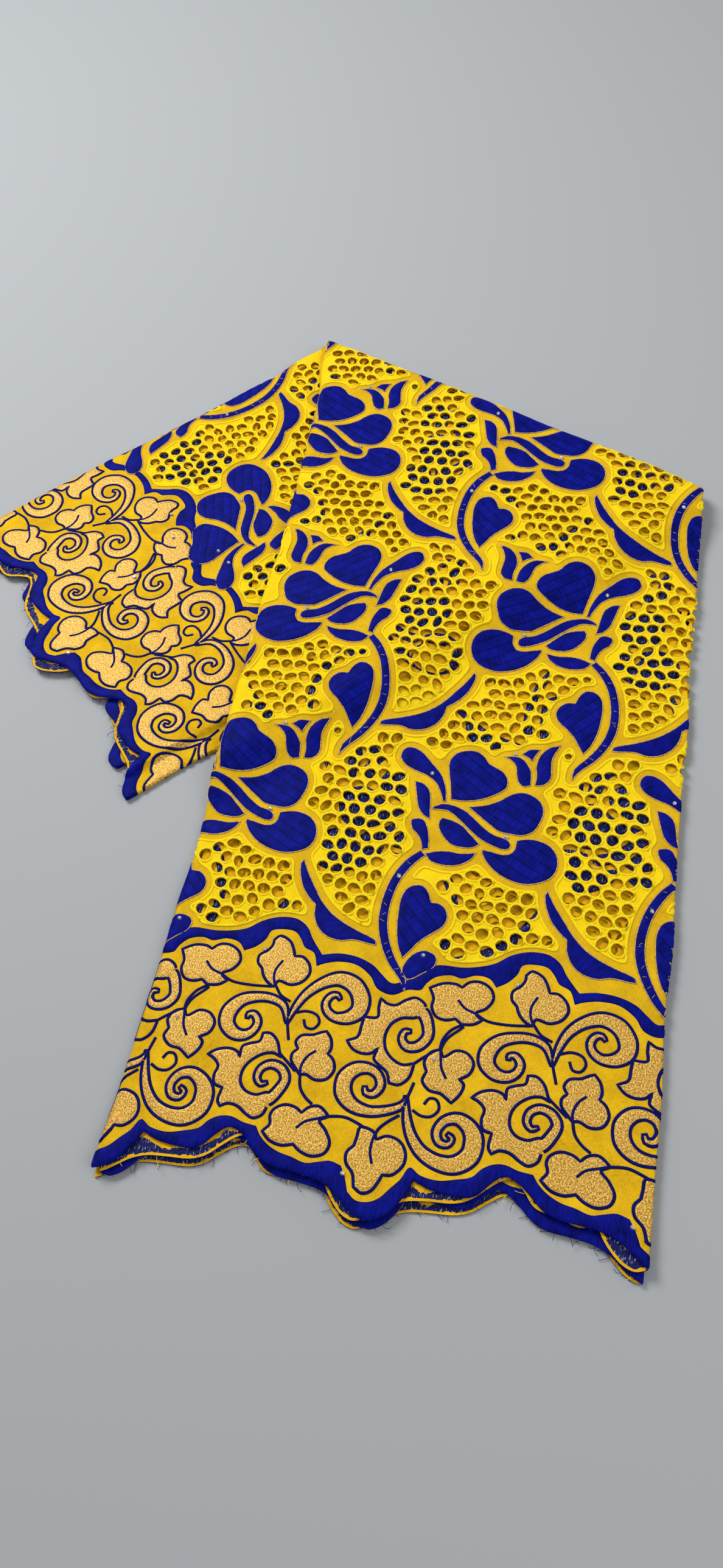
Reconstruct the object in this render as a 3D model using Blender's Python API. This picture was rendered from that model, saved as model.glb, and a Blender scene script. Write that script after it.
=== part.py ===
"""Guipure lace fabric, folded into a four-layer band that turns over a slanted ridge.

Units are metres and +Z is up. The cloth lies on the plane z = 0 with the middle of its box at x = y = 0.
Three sets of coordinates are used:
  cloth  x runs along the selvage and y from one scalloped selvage to the other
  stack  p runs along the zigzag of the four layers and c along the folded band
  world  x, y, z of the finished part
"""
import math

import bmesh
import bpy
from mathutils import Vector

for old in list(bpy.data.objects):
    bpy.data.objects.remove(old, do_unlink=True)

# The cloth itself
CLOTH_WIDTH = 1.268          # scallop tip to scallop tip, a 50 inch lace
REPEAT = 0.186               # one scallop and one flower along the selvage
ROW_STEP = 0.1855            # one row of flowers to the next, each row a mirror of the last
THICK = 0.001                # cotton ground
MERGE = 0.0001               # points nearer than this are one point
COTTON_COLOUR = (0.86, 0.62, 0.02, 1.0)

# The zigzag: four layers between two sides of the band
LAYER_STEP = 0.0022          # middle of one layer to the middle of the next
FOLD_RADIUS = LAYER_STEP / 2
RIGHT_FOLD = 0.3755          # outer face of the fold between layers 0 and 1
LEFT_FOLD = 0.0180           # outer face of the fold between layers 1 and 2
LAST_FOLD = 0.3735           # outer face of the fold between layers 2 and 3
FIRST_EDGE = 0.0090          # cut end of layer 0, before it curls down
LAST_EDGE = 0.0030           # cut end of layer 3, before it curls
CURL_LENGTH = 0.0075
CURL_RADIUS = 0.0045
CURL_STOPS = (0.0, 0.33, 0.67)   # shares of the curl's length where its facets meet
LEAST_CURL = 0.001           # a fainter curl is left straight
FOLD_STEPS = 4               # facets round each fold

# The ridge where the whole band turns over and runs off to the left, underneath
RIDGE_START = 0.7929         # distance up the band at its left side
RIDGE_TILT = math.atan(0.4195)
RIDGE_RADIUS = 0.0058        # middle of the four layers
RIDGE_STEPS = 6              # facets round the ridge
TURNED_SHEAR = 0.055         # the turned part lies a little off the mirrored direction

# The upper part steps down where the turned part underneath ends
UNDER_EDGE_RIGHT = (0.3755, 0.6354)
UNDER_EDGE_LEFT = (0.0160, 0.3330)
STEP_RUN = 0.045
STEP_STEPS = 6               # facets down the step

# The turned part: layers 0 and 1 fold further in, so layers 2 and 3 droop over them
NARROW_UNDER = 0.116
NARROW_OVER = 0.0466
DROOP = 2 * LAYER_STEP
DROOP_FROM = 0.3514
DROOP_TO = 0.3577

# The upper part: the cut end of layer 3 is tucked in, so that it doesn't stick out from under the others
TUCK = 0.011

# Where each local shape starts, and the run over which it grows, as distances past the ridge
CURL_0_GROWS = (-0.010, -0.050)
CURL_3_GROWS = (0.025, 0.050)
NARROW_GROWS = (0.050, 0.300)
DROOP_GROWS = (0.300, 0.120)
TUCK_FADES = (-0.100, 0.100)

# Cross lines that let the sides of the band bend, as distances before and after the ridge
LINES_BEFORE = (-0.70, -0.60, -0.50, -0.40, -0.30, -0.20, -0.12, -0.06, -0.035, -0.01)
LINES_AFTER = (0.01, 0.035, 0.06, 0.12, 0.18, 0.24, 0.30, 0.33, 0.36, 0.39, 0.42)
NARROW_BAND = 0.02           # strips narrower than this take every cross line, wider ones half

# Flare of the two sides along the band: distance up the band, left side, right side
SIDE_FLARE = ((-0.05, -0.0100, 0.0063), (0.0, -0.0095, 0.0060), (0.19, -0.0010, 0.0042),
              (0.45, 0.0025, 0.0018), (0.60, 0.0050, 0.0), (0.78, 0.0, 0.0), (1.4, 0.0, 0.0))

# Cloth y to band c at each side: the under layers peep out and their hidden lengths are rumpled short
REACH_TOP = ((0.0, 0.0), (0.84, 0.84), (CLOTH_WIDTH, 1.2110))
REACH_MIDDLE = ((0.0, -0.003), (CLOTH_WIDTH, 1.2173))
REACH_TURNED = ((0.0, -0.006), (0.669, 0.600), (CLOTH_WIDTH, 1.199))

# Where the band lies: its lower left corner and the turn of its lower edge
BAND_CORNER = (-0.2649, -0.2888)
BAND_TURN = math.radians(-23.32)

# One repeat of the scallop: distance along the selvage, height of the edge above the tips
SCALLOP_START = 0.040
SCALLOP = ((0.0, 0.031), (0.022, 0.026), (0.034, 0.026), (0.048, 0.037), (0.056, 0.0435),
           (0.064, 0.0415), (0.083, 0.0265), (0.110, 0.021), (0.124, 0.019), (0.142, 0.0085),
           (0.1585, 0.0), (0.173, 0.008), (0.183, 0.0235))
END_MARGIN = 0.002           # scallop points nearer to a cut end than this are left out

# How far the uncut slab and the cutters reach past the cloth
SLAB_PAST_NEAR = 0.03
SLAB_PAST_FAR = 0.01
CUTTER_PAST = 0.06
CUTTER_PAST_ENDS = 0.02

# The eyelet net, cut at about twice its real pitch
NET_PITCH = (0.0250, 0.0205)
HOLE_SIZE = (0.0078, 0.0062)
HOLE_SIDES = 6
HOLE_MARGIN = 0.0035
NET_PAST_RIDGE = 0.03        # no holes nearer than this to the ridge on the turned part
NET_FROM_LAST_FOLD = 0.025   # nor to its drooping side
NET_BOTTOM = 0.199
FIRST_ROW = 0.2972
FLOWER_PHASE = (0.0374, 0.0794)
ROWS = 5

# What the net leaves solid, about the middle of a flower: start x, y, end x, y, radius
SOLID_MOTIFS = (
    (-0.003, 0.041, -0.003, 0.041, 0.024),
    (0.035, 0.019, 0.035, 0.019, 0.021),
    (0.039, -0.023, 0.039, -0.023, 0.024),
    (-0.007, -0.003, -0.007, -0.003, 0.020),
    (-0.060, 0.054, -0.029, 0.033, 0.009),
    (-0.042, 0.019, -0.038, -0.017, 0.010),
    (-0.029, -0.031, 0.001, -0.027, 0.009),
    (0.038, 0.054, 0.038, 0.054, 0.020),
    (-0.035, -0.031, -0.054, -0.062, 0.008),
    (-0.054, -0.062, -0.057, -0.082, 0.008),
    (-0.057, -0.082, -0.046, -0.113, 0.008),
    (-0.046, -0.113, -0.029, -0.128, 0.008),
    (-0.029, -0.073, -0.035, -0.100, 0.020),
    (-0.123, -0.051, -0.097, -0.082, 0.008),
    (-0.097, -0.082, -0.060, -0.103, 0.009),
)


def lerp_table(table, at, column=1):
    """Read one column of a table at a value of its first column, in straight lines."""
    last = table[-1]
    for low, high in zip(table, table[1:]):
        if at <= high[0]:
            share = (at - low[0]) / (high[0] - low[0])
            return low[column] + share * (high[column] - low[column])
    return last[column]


def smooth(share):
    share = min(1.0, max(0.0, share))
    return share * share * (3 - 2 * share)


def grown(past, start_and_run):
    """How far a local shape has grown, from 0 to 1, at a distance past the ridge."""
    start, run = start_and_run
    return smooth((past - start) / run)


ARC = math.pi * FOLD_RADIUS
TOP_Z = 1.5 * LAYER_STEP

# Stack p at the start and end of each layer
LAYER_0 = (FIRST_EDGE, RIGHT_FOLD - FOLD_RADIUS)
LAYER_1 = (LAYER_0[1] + ARC, LAYER_0[1] + ARC + RIGHT_FOLD - LEFT_FOLD - 2 * FOLD_RADIUS)
LAYER_2 = (LAYER_1[1] + ARC, LAYER_1[1] + ARC + LAST_FOLD - LEFT_FOLD - 2 * FOLD_RADIUS)
LAYER_3 = (LAYER_2[1] + ARC, LAYER_2[1] + ARC + LAST_FOLD - FOLD_RADIUS - LAST_EDGE)
CURL_0 = LAYER_0[0] + CURL_LENGTH
CURL_3 = LAYER_3[1] - CURL_LENGTH

# Cloth x at the same places: layers 1 and 2 hold a little more cloth than their run
CLOTH_1 = (LAYER_1[0], 0.7504)
CLOTH_2 = (0.7504 + ARC, 1.1244)
CLOTH_3 = (1.1244 + ARC, 1.1244 + ARC + LAYER_3[1] - LAYER_3[0])
X_TO_P = ((LAYER_0[0], LAYER_0[0]), (CLOTH_1[0], LAYER_1[0]), (CLOTH_1[1], LAYER_1[1]),
          (CLOTH_2[0], LAYER_2[0]), (CLOTH_2[1], LAYER_2[1]), (CLOTH_3[0], LAYER_3[0]),
          (CLOTH_3[1], LAYER_3[1]))


def cloth_to_stack(x, y):
    """Place a point of the flat cloth along the zigzag and along the band."""
    p = lerp_table(X_TO_P, x)
    top = lerp_table(REACH_TOP, y)
    middle = lerp_table(REACH_MIDDLE, y)
    turned = lerp_table(REACH_TURNED, y)
    if p < LAYER_1[1]:
        share = min(1.0, max(0.0, (p - LAYER_1[0]) / (LAYER_1[1] - LAYER_1[0])))
        return p, top + share * (middle - top)
    share = min(1.0, max(0.0, (p - LAYER_2[0]) / (LAYER_2[1] - LAYER_2[0])))
    return p, middle + share * (turned - middle)


def across(p, w, curl_0, curl_3):
    """Stack p and offset w on the face side to (a, height of the layer's middle, offset in height)."""
    if p < LAYER_0[1]:
        reach = CURL_0 - p
        if reach <= 0 or curl_0 < LEAST_CURL:
            return p, TOP_Z, w
        radius = CURL_RADIUS / curl_0
        angle = reach / radius
        return (CURL_0 - (radius + w) * math.sin(angle), TOP_Z,
                (radius + w) * math.cos(angle) - radius)
    if p < LAYER_1[0]:
        angle = math.pi / 2 - (p - LAYER_0[1]) / FOLD_RADIUS
        return (LAYER_0[1] + (FOLD_RADIUS + w) * math.cos(angle),
                LAYER_STEP + FOLD_RADIUS * math.sin(angle), w * math.sin(angle))
    if p < LAYER_1[1]:
        return LAYER_0[1] - (p - LAYER_1[0]), FOLD_RADIUS, -w
    if p < LAYER_2[0]:
        angle = math.pi / 2 + (p - LAYER_1[1]) / FOLD_RADIUS
        return (LEFT_FOLD + FOLD_RADIUS + (FOLD_RADIUS - w) * math.cos(angle),
                FOLD_RADIUS * math.sin(angle), -w * math.sin(angle))
    if p < LAYER_2[1]:
        return LEFT_FOLD + FOLD_RADIUS + (p - LAYER_2[0]), -FOLD_RADIUS, w
    if p < LAYER_3[0]:
        angle = math.pi / 2 - (p - LAYER_2[1]) / FOLD_RADIUS
        return (LAST_FOLD - FOLD_RADIUS + (FOLD_RADIUS + w) * math.cos(angle),
                -LAYER_STEP + FOLD_RADIUS * math.sin(angle), w * math.sin(angle))
    reach = p - CURL_3
    a_curl = LAST_EDGE + CURL_LENGTH
    if reach <= 0 or curl_3 < LEAST_CURL:
        return a_curl - reach, -TOP_Z, -w
    radius = CURL_RADIUS / curl_3
    angle = reach / radius
    return (a_curl - (radius + w) * math.sin(angle), -TOP_Z,
            radius - (radius + w) * math.cos(angle))


def flat_a(p):
    """Distance across the band of a point of the zigzag, with nothing curled."""
    return across(p, 0.0, 0.0, 0.0)[0]


def ridge_distance(a, c):
    """How far a point of the band lies past the middle of the ridge."""
    return a * math.sin(RIDGE_TILT) + (c - RIDGE_START) * math.cos(RIDGE_TILT)


def under_distance(a, c):
    """How far a point lies inside (+) or outside (-) the turned part's edge."""
    ax, ac = UNDER_EDGE_LEFT
    bx, bc = UNDER_EDGE_RIGHT
    length = math.hypot(bx - ax, bc - ac)
    return ((bx - ax) * (c - ac) - (bc - ac) * (a - ax)) / length


def turn_radius(p):
    """Radius whose half circle is the cloth a layer spends in the ridge."""
    outer, inner = RIDGE_RADIUS + TOP_Z, RIDGE_RADIUS - TOP_Z
    table = ((LAYER_1[0], outer), (LAYER_1[1], RIDGE_RADIUS), (LAYER_2[0], RIDGE_RADIUS),
             (LAYER_2[1], inner))
    return outer if p < LAYER_1[0] else lerp_table(table, p)


CENTRE_Z = THICK / 2 + RIDGE_RADIUS + TOP_Z
LIFT = 2 * RIDGE_RADIUS


def stack_to_world(p, c, w):
    """Fold a point of the stack: curl, zigzag, droop, ridge and step."""
    past = ridge_distance(flat_a(p), c)
    a, middle, offset = across(p, w, grown(past, CURL_0_GROWS), grown(past, CURL_3_GROWS))
    lowest = 1 - min(1.0, max(0.0, (middle + TOP_Z) / LAYER_STEP))
    a += TUCK * lowest * (1 - a / LAST_FOLD) * (1 - grown(past, TUCK_FADES))
    upper = min(1.0, max(0.0, (middle + FOLD_RADIUS) / LAYER_STEP))
    if past > 0:
        bend = smooth((a - DROOP_FROM) / (DROOP_TO - DROOP_FROM))
        offset += DROOP * grown(past, DROOP_GROWS) * bend * (1 - upper)
        narrow = upper * NARROW_UNDER + (1 - upper) * NARROW_OVER
        a *= 1 - narrow * grown(past, NARROW_GROWS)
    side = a / RIGHT_FOLD
    a += (1 - side) * lerp_table(SIDE_FLARE, c, 1) + side * lerp_table(SIDE_FLARE, c, 2)
    along = a * math.cos(RIDGE_TILT) - (c - RIDGE_START) * math.sin(RIDGE_TILT)
    past = ridge_distance(a, c)
    radius = RIDGE_RADIUS + middle + offset
    angle = past / turn_radius(p)
    if angle <= 0:
        out = past
        z = CENTRE_Z + radius - LIFT * smooth(-under_distance(a, c) / STEP_RUN)
    elif angle < math.pi:
        out = radius * math.sin(angle)
        z = CENTRE_Z + radius * math.cos(angle)
    else:
        out = math.pi * turn_radius(p) - past
        z = CENTRE_Z - radius
        along += TURNED_SHEAR * out
        out -= TURNED_SHEAR * math.tan(RIDGE_TILT) * out
    band_a = along * math.cos(RIDGE_TILT) + out * math.sin(RIDGE_TILT)
    band_c = RIDGE_START - along * math.sin(RIDGE_TILT) + out * math.cos(RIDGE_TILT)
    return Vector((
        BAND_CORNER[0] + band_a * math.cos(BAND_TURN) - band_c * math.sin(BAND_TURN),
        BAND_CORNER[1] + band_a * math.sin(BAND_TURN) + band_c * math.cos(BAND_TURN),
        z,
    ))


def fold_lines():
    """Stack p of every straight line the slab is cut along before it is bent."""
    lines = [CURL_0 - CURL_LENGTH * share for share in CURL_STOPS]
    for start in (LAYER_0[1], LAYER_1[1], LAYER_2[1]):
        lines += [start + ARC * step / FOLD_STEPS for step in range(FOLD_STEPS + 1)]
    for edge in (DROOP_FROM, (DROOP_FROM + DROOP_TO) / 2, DROOP_TO):
        lines.append(LAYER_2[0] + edge - LEFT_FOLD - FOLD_RADIUS)
        lines.append(LAYER_3[0] + LAST_FOLD - FOLD_RADIUS - edge)
    lines += [CURL_3 + CURL_LENGTH * share for share in CURL_STOPS]
    return sorted(lines)


def c_at_ridge(p, angle, beyond=0.0):
    """Band c where a layer has turned by an angle over the ridge, or lies beyond it."""
    past = turn_radius(p) * angle + beyond
    return RIDGE_START + (past - flat_a(p) * math.sin(RIDGE_TILT)) / math.cos(RIDGE_TILT)


def c_at_step(p, distance):
    """Band c on a line beside the turned part's edge."""
    ax, ac = UNDER_EDGE_LEFT
    bx, bc = UNDER_EDGE_RIGHT
    length = math.hypot(bx - ax, bc - ac)
    return ac + (distance * length + (bc - ac) * (flat_a(p) - ax)) / (bx - ax)


def cut_slab(mesh, p_from, p_to, c_from, c_to):
    """Cut the faces of the slab that lie between two p lines along a slanting line."""
    faces = [f for f in mesh.faces if p_from < f.calc_center_median().x < p_to]
    edges = dict.fromkeys(edge for face in faces for edge in face.edges)
    verts = dict.fromkeys(vert for face in faces for vert in face.verts)
    direction = Vector((p_to - p_from, c_to - c_from, 0)).normalized()
    bmesh.ops.bisect_plane(mesh, geom=list(verts) + list(edges) + faces, dist=1e-7,
                           plane_co=(p_from, c_from, 0), plane_no=direction.cross(Vector((0, 0, 1))))


def make_slab(name, collection):
    """The uncut cloth as a flat slab in stack coordinates, cut along every line it will bend on."""
    low, high = -SLAB_PAST_NEAR, CLOTH_WIDTH + SLAB_PAST_FAR
    bpy.ops.mesh.primitive_cube_add(size=1)
    slab = bpy.context.object
    slab.name = name
    for old_collection in list(slab.users_collection):
        old_collection.objects.unlink(slab)
    collection.objects.link(slab)
    mesh = bmesh.new()
    mesh.from_mesh(slab.data)
    length = LAYER_3[1] - LAYER_0[0]
    for vert in mesh.verts:
        vert.co.x = LAYER_0[0] + (vert.co.x + 0.5) * length
        vert.co.y = low + (vert.co.y + 0.5) * (high - low)
        vert.co.z *= THICK
    lines = fold_lines()
    for p in lines:
        everything = mesh.verts[:] + mesh.edges[:] + mesh.faces[:]
        bmesh.ops.bisect_plane(mesh, geom=everything, dist=1e-7, plane_co=(p, 0, 0), plane_no=(1, 0, 0))
    stops = sorted(set([LAYER_0[0], LAYER_3[1]] + lines))
    for start, stop in zip(stops, stops[1:]):
        for step in range(RIDGE_STEPS + 1):
            angle = math.pi * step / RIDGE_STEPS
            cut_slab(mesh, start, stop, c_at_ridge(start, angle), c_at_ridge(stop, angle))
        for step in range(STEP_STEPS + 1):
            away = -STEP_RUN * step / STEP_STEPS
            cut_slab(mesh, start, stop, c_at_step(start, away), c_at_step(stop, away))
        narrow = stop - start < NARROW_BAND
        for before in LINES_BEFORE[::1 if narrow else 2]:
            cut_slab(mesh, start, stop, c_at_ridge(start, 0, before), c_at_ridge(stop, 0, before))
        for after in LINES_AFTER[::1 if narrow else 2]:
            cut_slab(mesh, start, stop, c_at_ridge(start, math.pi, after),
                     c_at_ridge(stop, math.pi, after))
    mesh.to_mesh(slab.data)
    mesh.free()
    return slab


def scallop_points(far):
    """Cloth points along one scalloped selvage, cut end to cut end. The far one mirrors the near one."""
    first, last = X_TO_P[0][0], X_TO_P[-1][0]
    points = []
    for index in range(-2, int((last - first) / REPEAT) + 2):
        for along, height in SCALLOP:
            points.append((index * REPEAT + SCALLOP_START + along, CLOTH_WIDTH - height if far else height))
    inside = [point for point in points if first + END_MARGIN < point[0] < last - END_MARGIN]
    return [(first, lerp_table(points, first))] + inside + [(last, lerp_table(points, last))]


def prism(mesh, outline):
    """A straight-sided cutter through the slab from an outline in stack coordinates."""
    verts = [mesh.verts.new((p, c, -THICK)) for p, c in outline]
    face = mesh.faces.new(verts)
    extruded = bmesh.ops.extrude_face_region(mesh, geom=[face])
    lifted = [item for item in extruded["geom"] if isinstance(item, bmesh.types.BMVert)]
    bmesh.ops.translate(mesh, verts=lifted, vec=(0, 0, 2 * THICK))


def make_cutter(name, outlines, collection):
    mesh = bmesh.new()
    for outline in outlines:
        prism(mesh, outline)
    bmesh.ops.recalc_face_normals(mesh, faces=mesh.faces[:])
    data = bpy.data.meshes.new(name)
    mesh.to_mesh(data)
    mesh.free()
    cutter = bpy.data.objects.new(name, data)
    collection.objects.link(cutter)
    cutter.hide_render = True
    cutter.display_type = "WIRE"
    return cutter


def edge_cutter(far, collection):
    """All that lies outside one scalloped selvage."""
    outline = [cloth_to_stack(x, y) for x, y in scallop_points(far)]
    outline[0] = (LAYER_0[0] - CUTTER_PAST_ENDS, outline[0][1])
    outline[-1] = (LAYER_3[1] + CUTTER_PAST_ENDS, outline[-1][1])
    beyond = CLOTH_WIDTH + CUTTER_PAST if far else -CUTTER_PAST
    outline += [(outline[-1][0], beyond), (outline[0][0], beyond)]
    return make_cutter("far_selvage_cut" if far else "near_selvage_cut", [outline], collection)


def motif_distance(x, y):
    """Distance from a cloth point to the nearest solid motif of the flower rows."""
    nearest = REPEAT
    for row in range(ROWS):
        mirror = -1 if row % 2 else 1
        phase = FLOWER_PHASE[row % 2]
        base = round((x - phase) / REPEAT)
        for column in range(base - 1, base + 2):
            dx = mirror * (x - phase - column * REPEAT)
            dy = y - FIRST_ROW - row * ROW_STEP
            for x0, y0, x1, y1, radius in SOLID_MOTIFS:
                run = (x1 - x0) ** 2 + (y1 - y0) ** 2
                share = 0.0 if run == 0 else ((dx - x0) * (x1 - x0) + (dy - y0) * (y1 - y0)) / run
                share = min(1.0, max(0.0, share))
                gap = math.hypot(dx - x0 - share * (x1 - x0), dy - y0 - share * (y1 - y0)) - radius
                nearest = min(nearest, gap)
    return nearest


def hole_centres():
    """Cloth points of the net's holes on the two faces that show."""
    centres = []
    reach = max(HOLE_SIZE) + HOLE_MARGIN
    pitch_x, pitch_y = NET_PITCH
    rows = int((CLOTH_WIDTH - 2 * NET_BOTTOM) / pitch_y) + 1
    for row in range(rows):
        y = NET_BOTTOM + row * pitch_y
        for column in range(int(X_TO_P[-1][0] / pitch_x) + 1):
            x = (column + 0.5 * (row % 2)) * pitch_x
            p, c = cloth_to_stack(x, y)
            past = ridge_distance(flat_a(p), c)
            on_top = CURL_0 + reach < p < LAYER_0[1] - reach and past < -reach
            inside = LAYER_3[0] + NET_FROM_LAST_FOLD + reach < p < CURL_3 - reach
            on_turned = inside and past > NET_PAST_RIDGE
            if (on_top or on_turned) and motif_distance(x, y) > reach:
                centres.append((x, y))
    return centres


def net_cutter(collection):
    outlines = []
    for x, y in hole_centres():
        ring = []
        for side in range(HOLE_SIDES):
            turn = 2 * math.pi * (side + 0.5) / HOLE_SIDES
            corner = (x + HOLE_SIZE[0] * math.cos(turn), y + HOLE_SIZE[1] * math.sin(turn))
            ring.append(cloth_to_stack(*corner))
        outlines.append(ring)
    return make_cutter("net_cut", outlines, collection)


def cut_with(target, cutter):
    modifier = target.modifiers.new(cutter.name, "BOOLEAN")
    modifier.operation = "DIFFERENCE"
    modifier.solver = "EXACT"
    modifier.object = cutter
    bpy.context.view_layer.objects.active = target
    bpy.ops.object.modifier_apply(modifier=modifier.name)


def cotton():
    material = bpy.data.materials.new("yellow_cotton")
    material.use_nodes = True
    shader = material.node_tree.nodes["Principled BSDF"]
    shader.inputs["Base Color"].default_value = COTTON_COLOUR
    shader.inputs["Roughness"].default_value = 0.85
    shader.inputs["Metallic"].default_value = 0.0
    return material


def make_lace():
    parts = bpy.data.collections.new("guipure_lace")
    cutters = bpy.data.collections.new("cutters")
    bpy.context.scene.collection.children.link(parts)
    bpy.context.scene.collection.children.link(cutters)
    lace = make_slab("lace_cloth", parts)
    for cutter in (edge_cutter(False, cutters), edge_cutter(True, cutters), net_cutter(cutters)):
        cut_with(lace, cutter)
    mesh = bmesh.new()
    mesh.from_mesh(lace.data)
    bmesh.ops.remove_doubles(mesh, verts=mesh.verts[:], dist=MERGE)
    for vert in mesh.verts:
        vert.co = stack_to_world(vert.co.x, vert.co.y, vert.co.z)
    mesh.normal_update()
    bmesh.ops.triangulate(mesh, faces=mesh.faces[:])
    mesh.to_mesh(lace.data)
    mesh.free()
    lace.data.materials.append(cotton())
    return lace


make_lace()
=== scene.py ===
import math

import bpy
import numpy as np
from mathutils import Matrix, Vector
from mathutils.geometry import delaunay_2d_cdt
from mathutils.kdtree import KDTree


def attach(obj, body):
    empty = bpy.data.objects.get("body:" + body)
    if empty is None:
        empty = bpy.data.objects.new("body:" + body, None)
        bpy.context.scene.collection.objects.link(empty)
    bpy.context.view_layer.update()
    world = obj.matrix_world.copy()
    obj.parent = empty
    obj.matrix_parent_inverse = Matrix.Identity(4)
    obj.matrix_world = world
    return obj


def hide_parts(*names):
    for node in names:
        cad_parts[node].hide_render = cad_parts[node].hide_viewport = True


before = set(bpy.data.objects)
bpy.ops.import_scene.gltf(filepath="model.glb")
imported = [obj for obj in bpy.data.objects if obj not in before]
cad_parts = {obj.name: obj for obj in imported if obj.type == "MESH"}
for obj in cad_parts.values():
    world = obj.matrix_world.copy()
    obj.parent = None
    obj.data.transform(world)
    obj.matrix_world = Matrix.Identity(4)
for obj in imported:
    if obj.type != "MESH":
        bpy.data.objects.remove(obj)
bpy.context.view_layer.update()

# The ground of the lace. One length of golden yellow cotton voile, with its eyelets cut through,
# lies folded in four layers, and the whole band turns over a slanted ridge. Every stitch is laid
# out flat, x along the selvage and y from one selvage to the other, and folded by these sizes.
MM = 0.001
CLOTH_WIDTH = 1.268
REPEAT = 0.186
ROW_STEP = 0.1855
THICK = 0.001
LAYER_STEP = 0.0022
FOLD_RADIUS = LAYER_STEP / 2
RIGHT_FOLD, LEFT_FOLD, LAST_FOLD = 0.3755, 0.0180, 0.3735
FIRST_EDGE, LAST_EDGE = 0.0090, 0.0030
CURL_LENGTH, CURL_RADIUS, LEAST_CURL = 0.0075, 0.0045, 0.001
RIDGE_START, RIDGE_TILT, RIDGE_RADIUS = 0.7929, math.atan(0.4195), 0.0058
TURNED_SHEAR = 0.055
UNDER_EDGE_RIGHT, UNDER_EDGE_LEFT, STEP_RUN = (0.3755, 0.6354), (0.0160, 0.3330), 0.045
NARROW_UNDER, NARROW_OVER = 0.116, 0.0466
DROOP, DROOP_FROM, DROOP_TO = 2 * LAYER_STEP, 0.3514, 0.3577
TUCK, TUCK_FADES = 0.011, (-0.100, 0.100)
CURL_0_GROWS, CURL_3_GROWS = (-0.010, -0.050), (0.025, 0.050)
NARROW_GROWS, DROOP_GROWS = (0.050, 0.300), (0.300, 0.120)
SIDE_FLARE = ((-0.05, -0.0100, 0.0063), (0.0, -0.0095, 0.0060), (0.19, -0.0010, 0.0042),
              (0.45, 0.0025, 0.0018), (0.60, 0.0050, 0.0), (0.78, 0.0, 0.0), (1.4, 0.0, 0.0))
REACH_TOP = ((0.0, 0.0), (0.84, 0.84), (CLOTH_WIDTH, 1.2110))
REACH_MIDDLE = ((0.0, -0.003), (CLOTH_WIDTH, 1.2173))
REACH_TURNED = ((0.0, -0.006), (0.669, 0.600), (CLOTH_WIDTH, 1.199))
BAND_CORNER, BAND_TURN = (-0.2649, -0.2888), math.radians(-23.32)

ARC = math.pi * FOLD_RADIUS
TOP_Z = 1.5 * LAYER_STEP
LAYER_0 = (FIRST_EDGE, RIGHT_FOLD - FOLD_RADIUS)
LAYER_1 = (LAYER_0[1] + ARC, LAYER_0[1] + ARC + RIGHT_FOLD - LEFT_FOLD - 2 * FOLD_RADIUS)
LAYER_2 = (LAYER_1[1] + ARC, LAYER_1[1] + ARC + LAST_FOLD - LEFT_FOLD - 2 * FOLD_RADIUS)
LAYER_3 = (LAYER_2[1] + ARC, LAYER_2[1] + ARC + LAST_FOLD - FOLD_RADIUS - LAST_EDGE)
CURL_0, CURL_3 = LAYER_0[0] + CURL_LENGTH, LAYER_3[1] - CURL_LENGTH
CLOTH_1, CLOTH_2 = (LAYER_1[0], 0.7504), (0.7504 + ARC, 1.1244)
CLOTH_3 = (1.1244 + ARC, 1.1244 + ARC + LAYER_3[1] - LAYER_3[0])
CLOTH_LENGTH = (LAYER_0[0], CLOTH_3[1])
X_TO_P = ((LAYER_0[0], LAYER_0[0]), (CLOTH_1[0], LAYER_1[0]), (CLOTH_1[1], LAYER_1[1]),
          (CLOTH_2[0], LAYER_2[0]), (CLOTH_2[1], LAYER_2[1]), (CLOTH_3[0], LAYER_3[0]),
          (CLOTH_3[1], LAYER_3[1]))
CENTRE_Z = THICK / 2 + RIDGE_RADIUS + TOP_Z
FLOOR_CLEARANCE = 0.65 * MM
RELIEF_UNDER = 0.4            # share of the stitches' height where layers press on each other
EDGE_LIFT = (0.22, 0.055)     # how much a scalloped edge lifts, as a share of its height, and the run
EDGE_WAVES = (0.5, 45, 20)    # how uneven that lift is, and its waves along the floor's two axes
FREE_TOP, FREE_TURNED = (0.0, 0.012), (0.020, 0.020)     # where the stitches stand free, and the run

# Soft swells and hollows of cloth that lies loosely, as a share of its height, and the small
# sideways wander of folds and edges that no hand lays quite straight.
SWELLS = ((41, 23, 0.4, 0.022), (-29, 37, 1.9, 0.026), (13, -61, 3.1, 0.020), (67, 48, 0.7, 0.012))
SWAY_X = ((17, 38, 0.5, 0.0007), (-31, 83, 2.0, 0.0004))
SWAY_Y = ((35, -14, 1.2, 0.0007), (77, 40, 0.3, 0.0004))


def read(table, at, column=1):
    return np.interp(at, [row[0] for row in table], [row[column] for row in table])


def ease(share):
    share = np.clip(share, 0.0, 1.0)
    return share * share * (3 - 2 * share)


def grown(past, start_and_run):
    return ease((past - start_and_run[0]) / start_and_run[1])


def cloth_to_stack(x, y):
    p = read(X_TO_P, x)
    top, middle, turned = read(REACH_TOP, y), read(REACH_MIDDLE, y), read(REACH_TURNED, y)
    first = np.clip((p - LAYER_1[0]) / (LAYER_1[1] - LAYER_1[0]), 0, 1)
    last = np.clip((p - LAYER_2[0]) / (LAYER_2[1] - LAYER_2[0]), 0, 1)
    return p, top + first * (middle - top) + last * (turned - middle)


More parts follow.
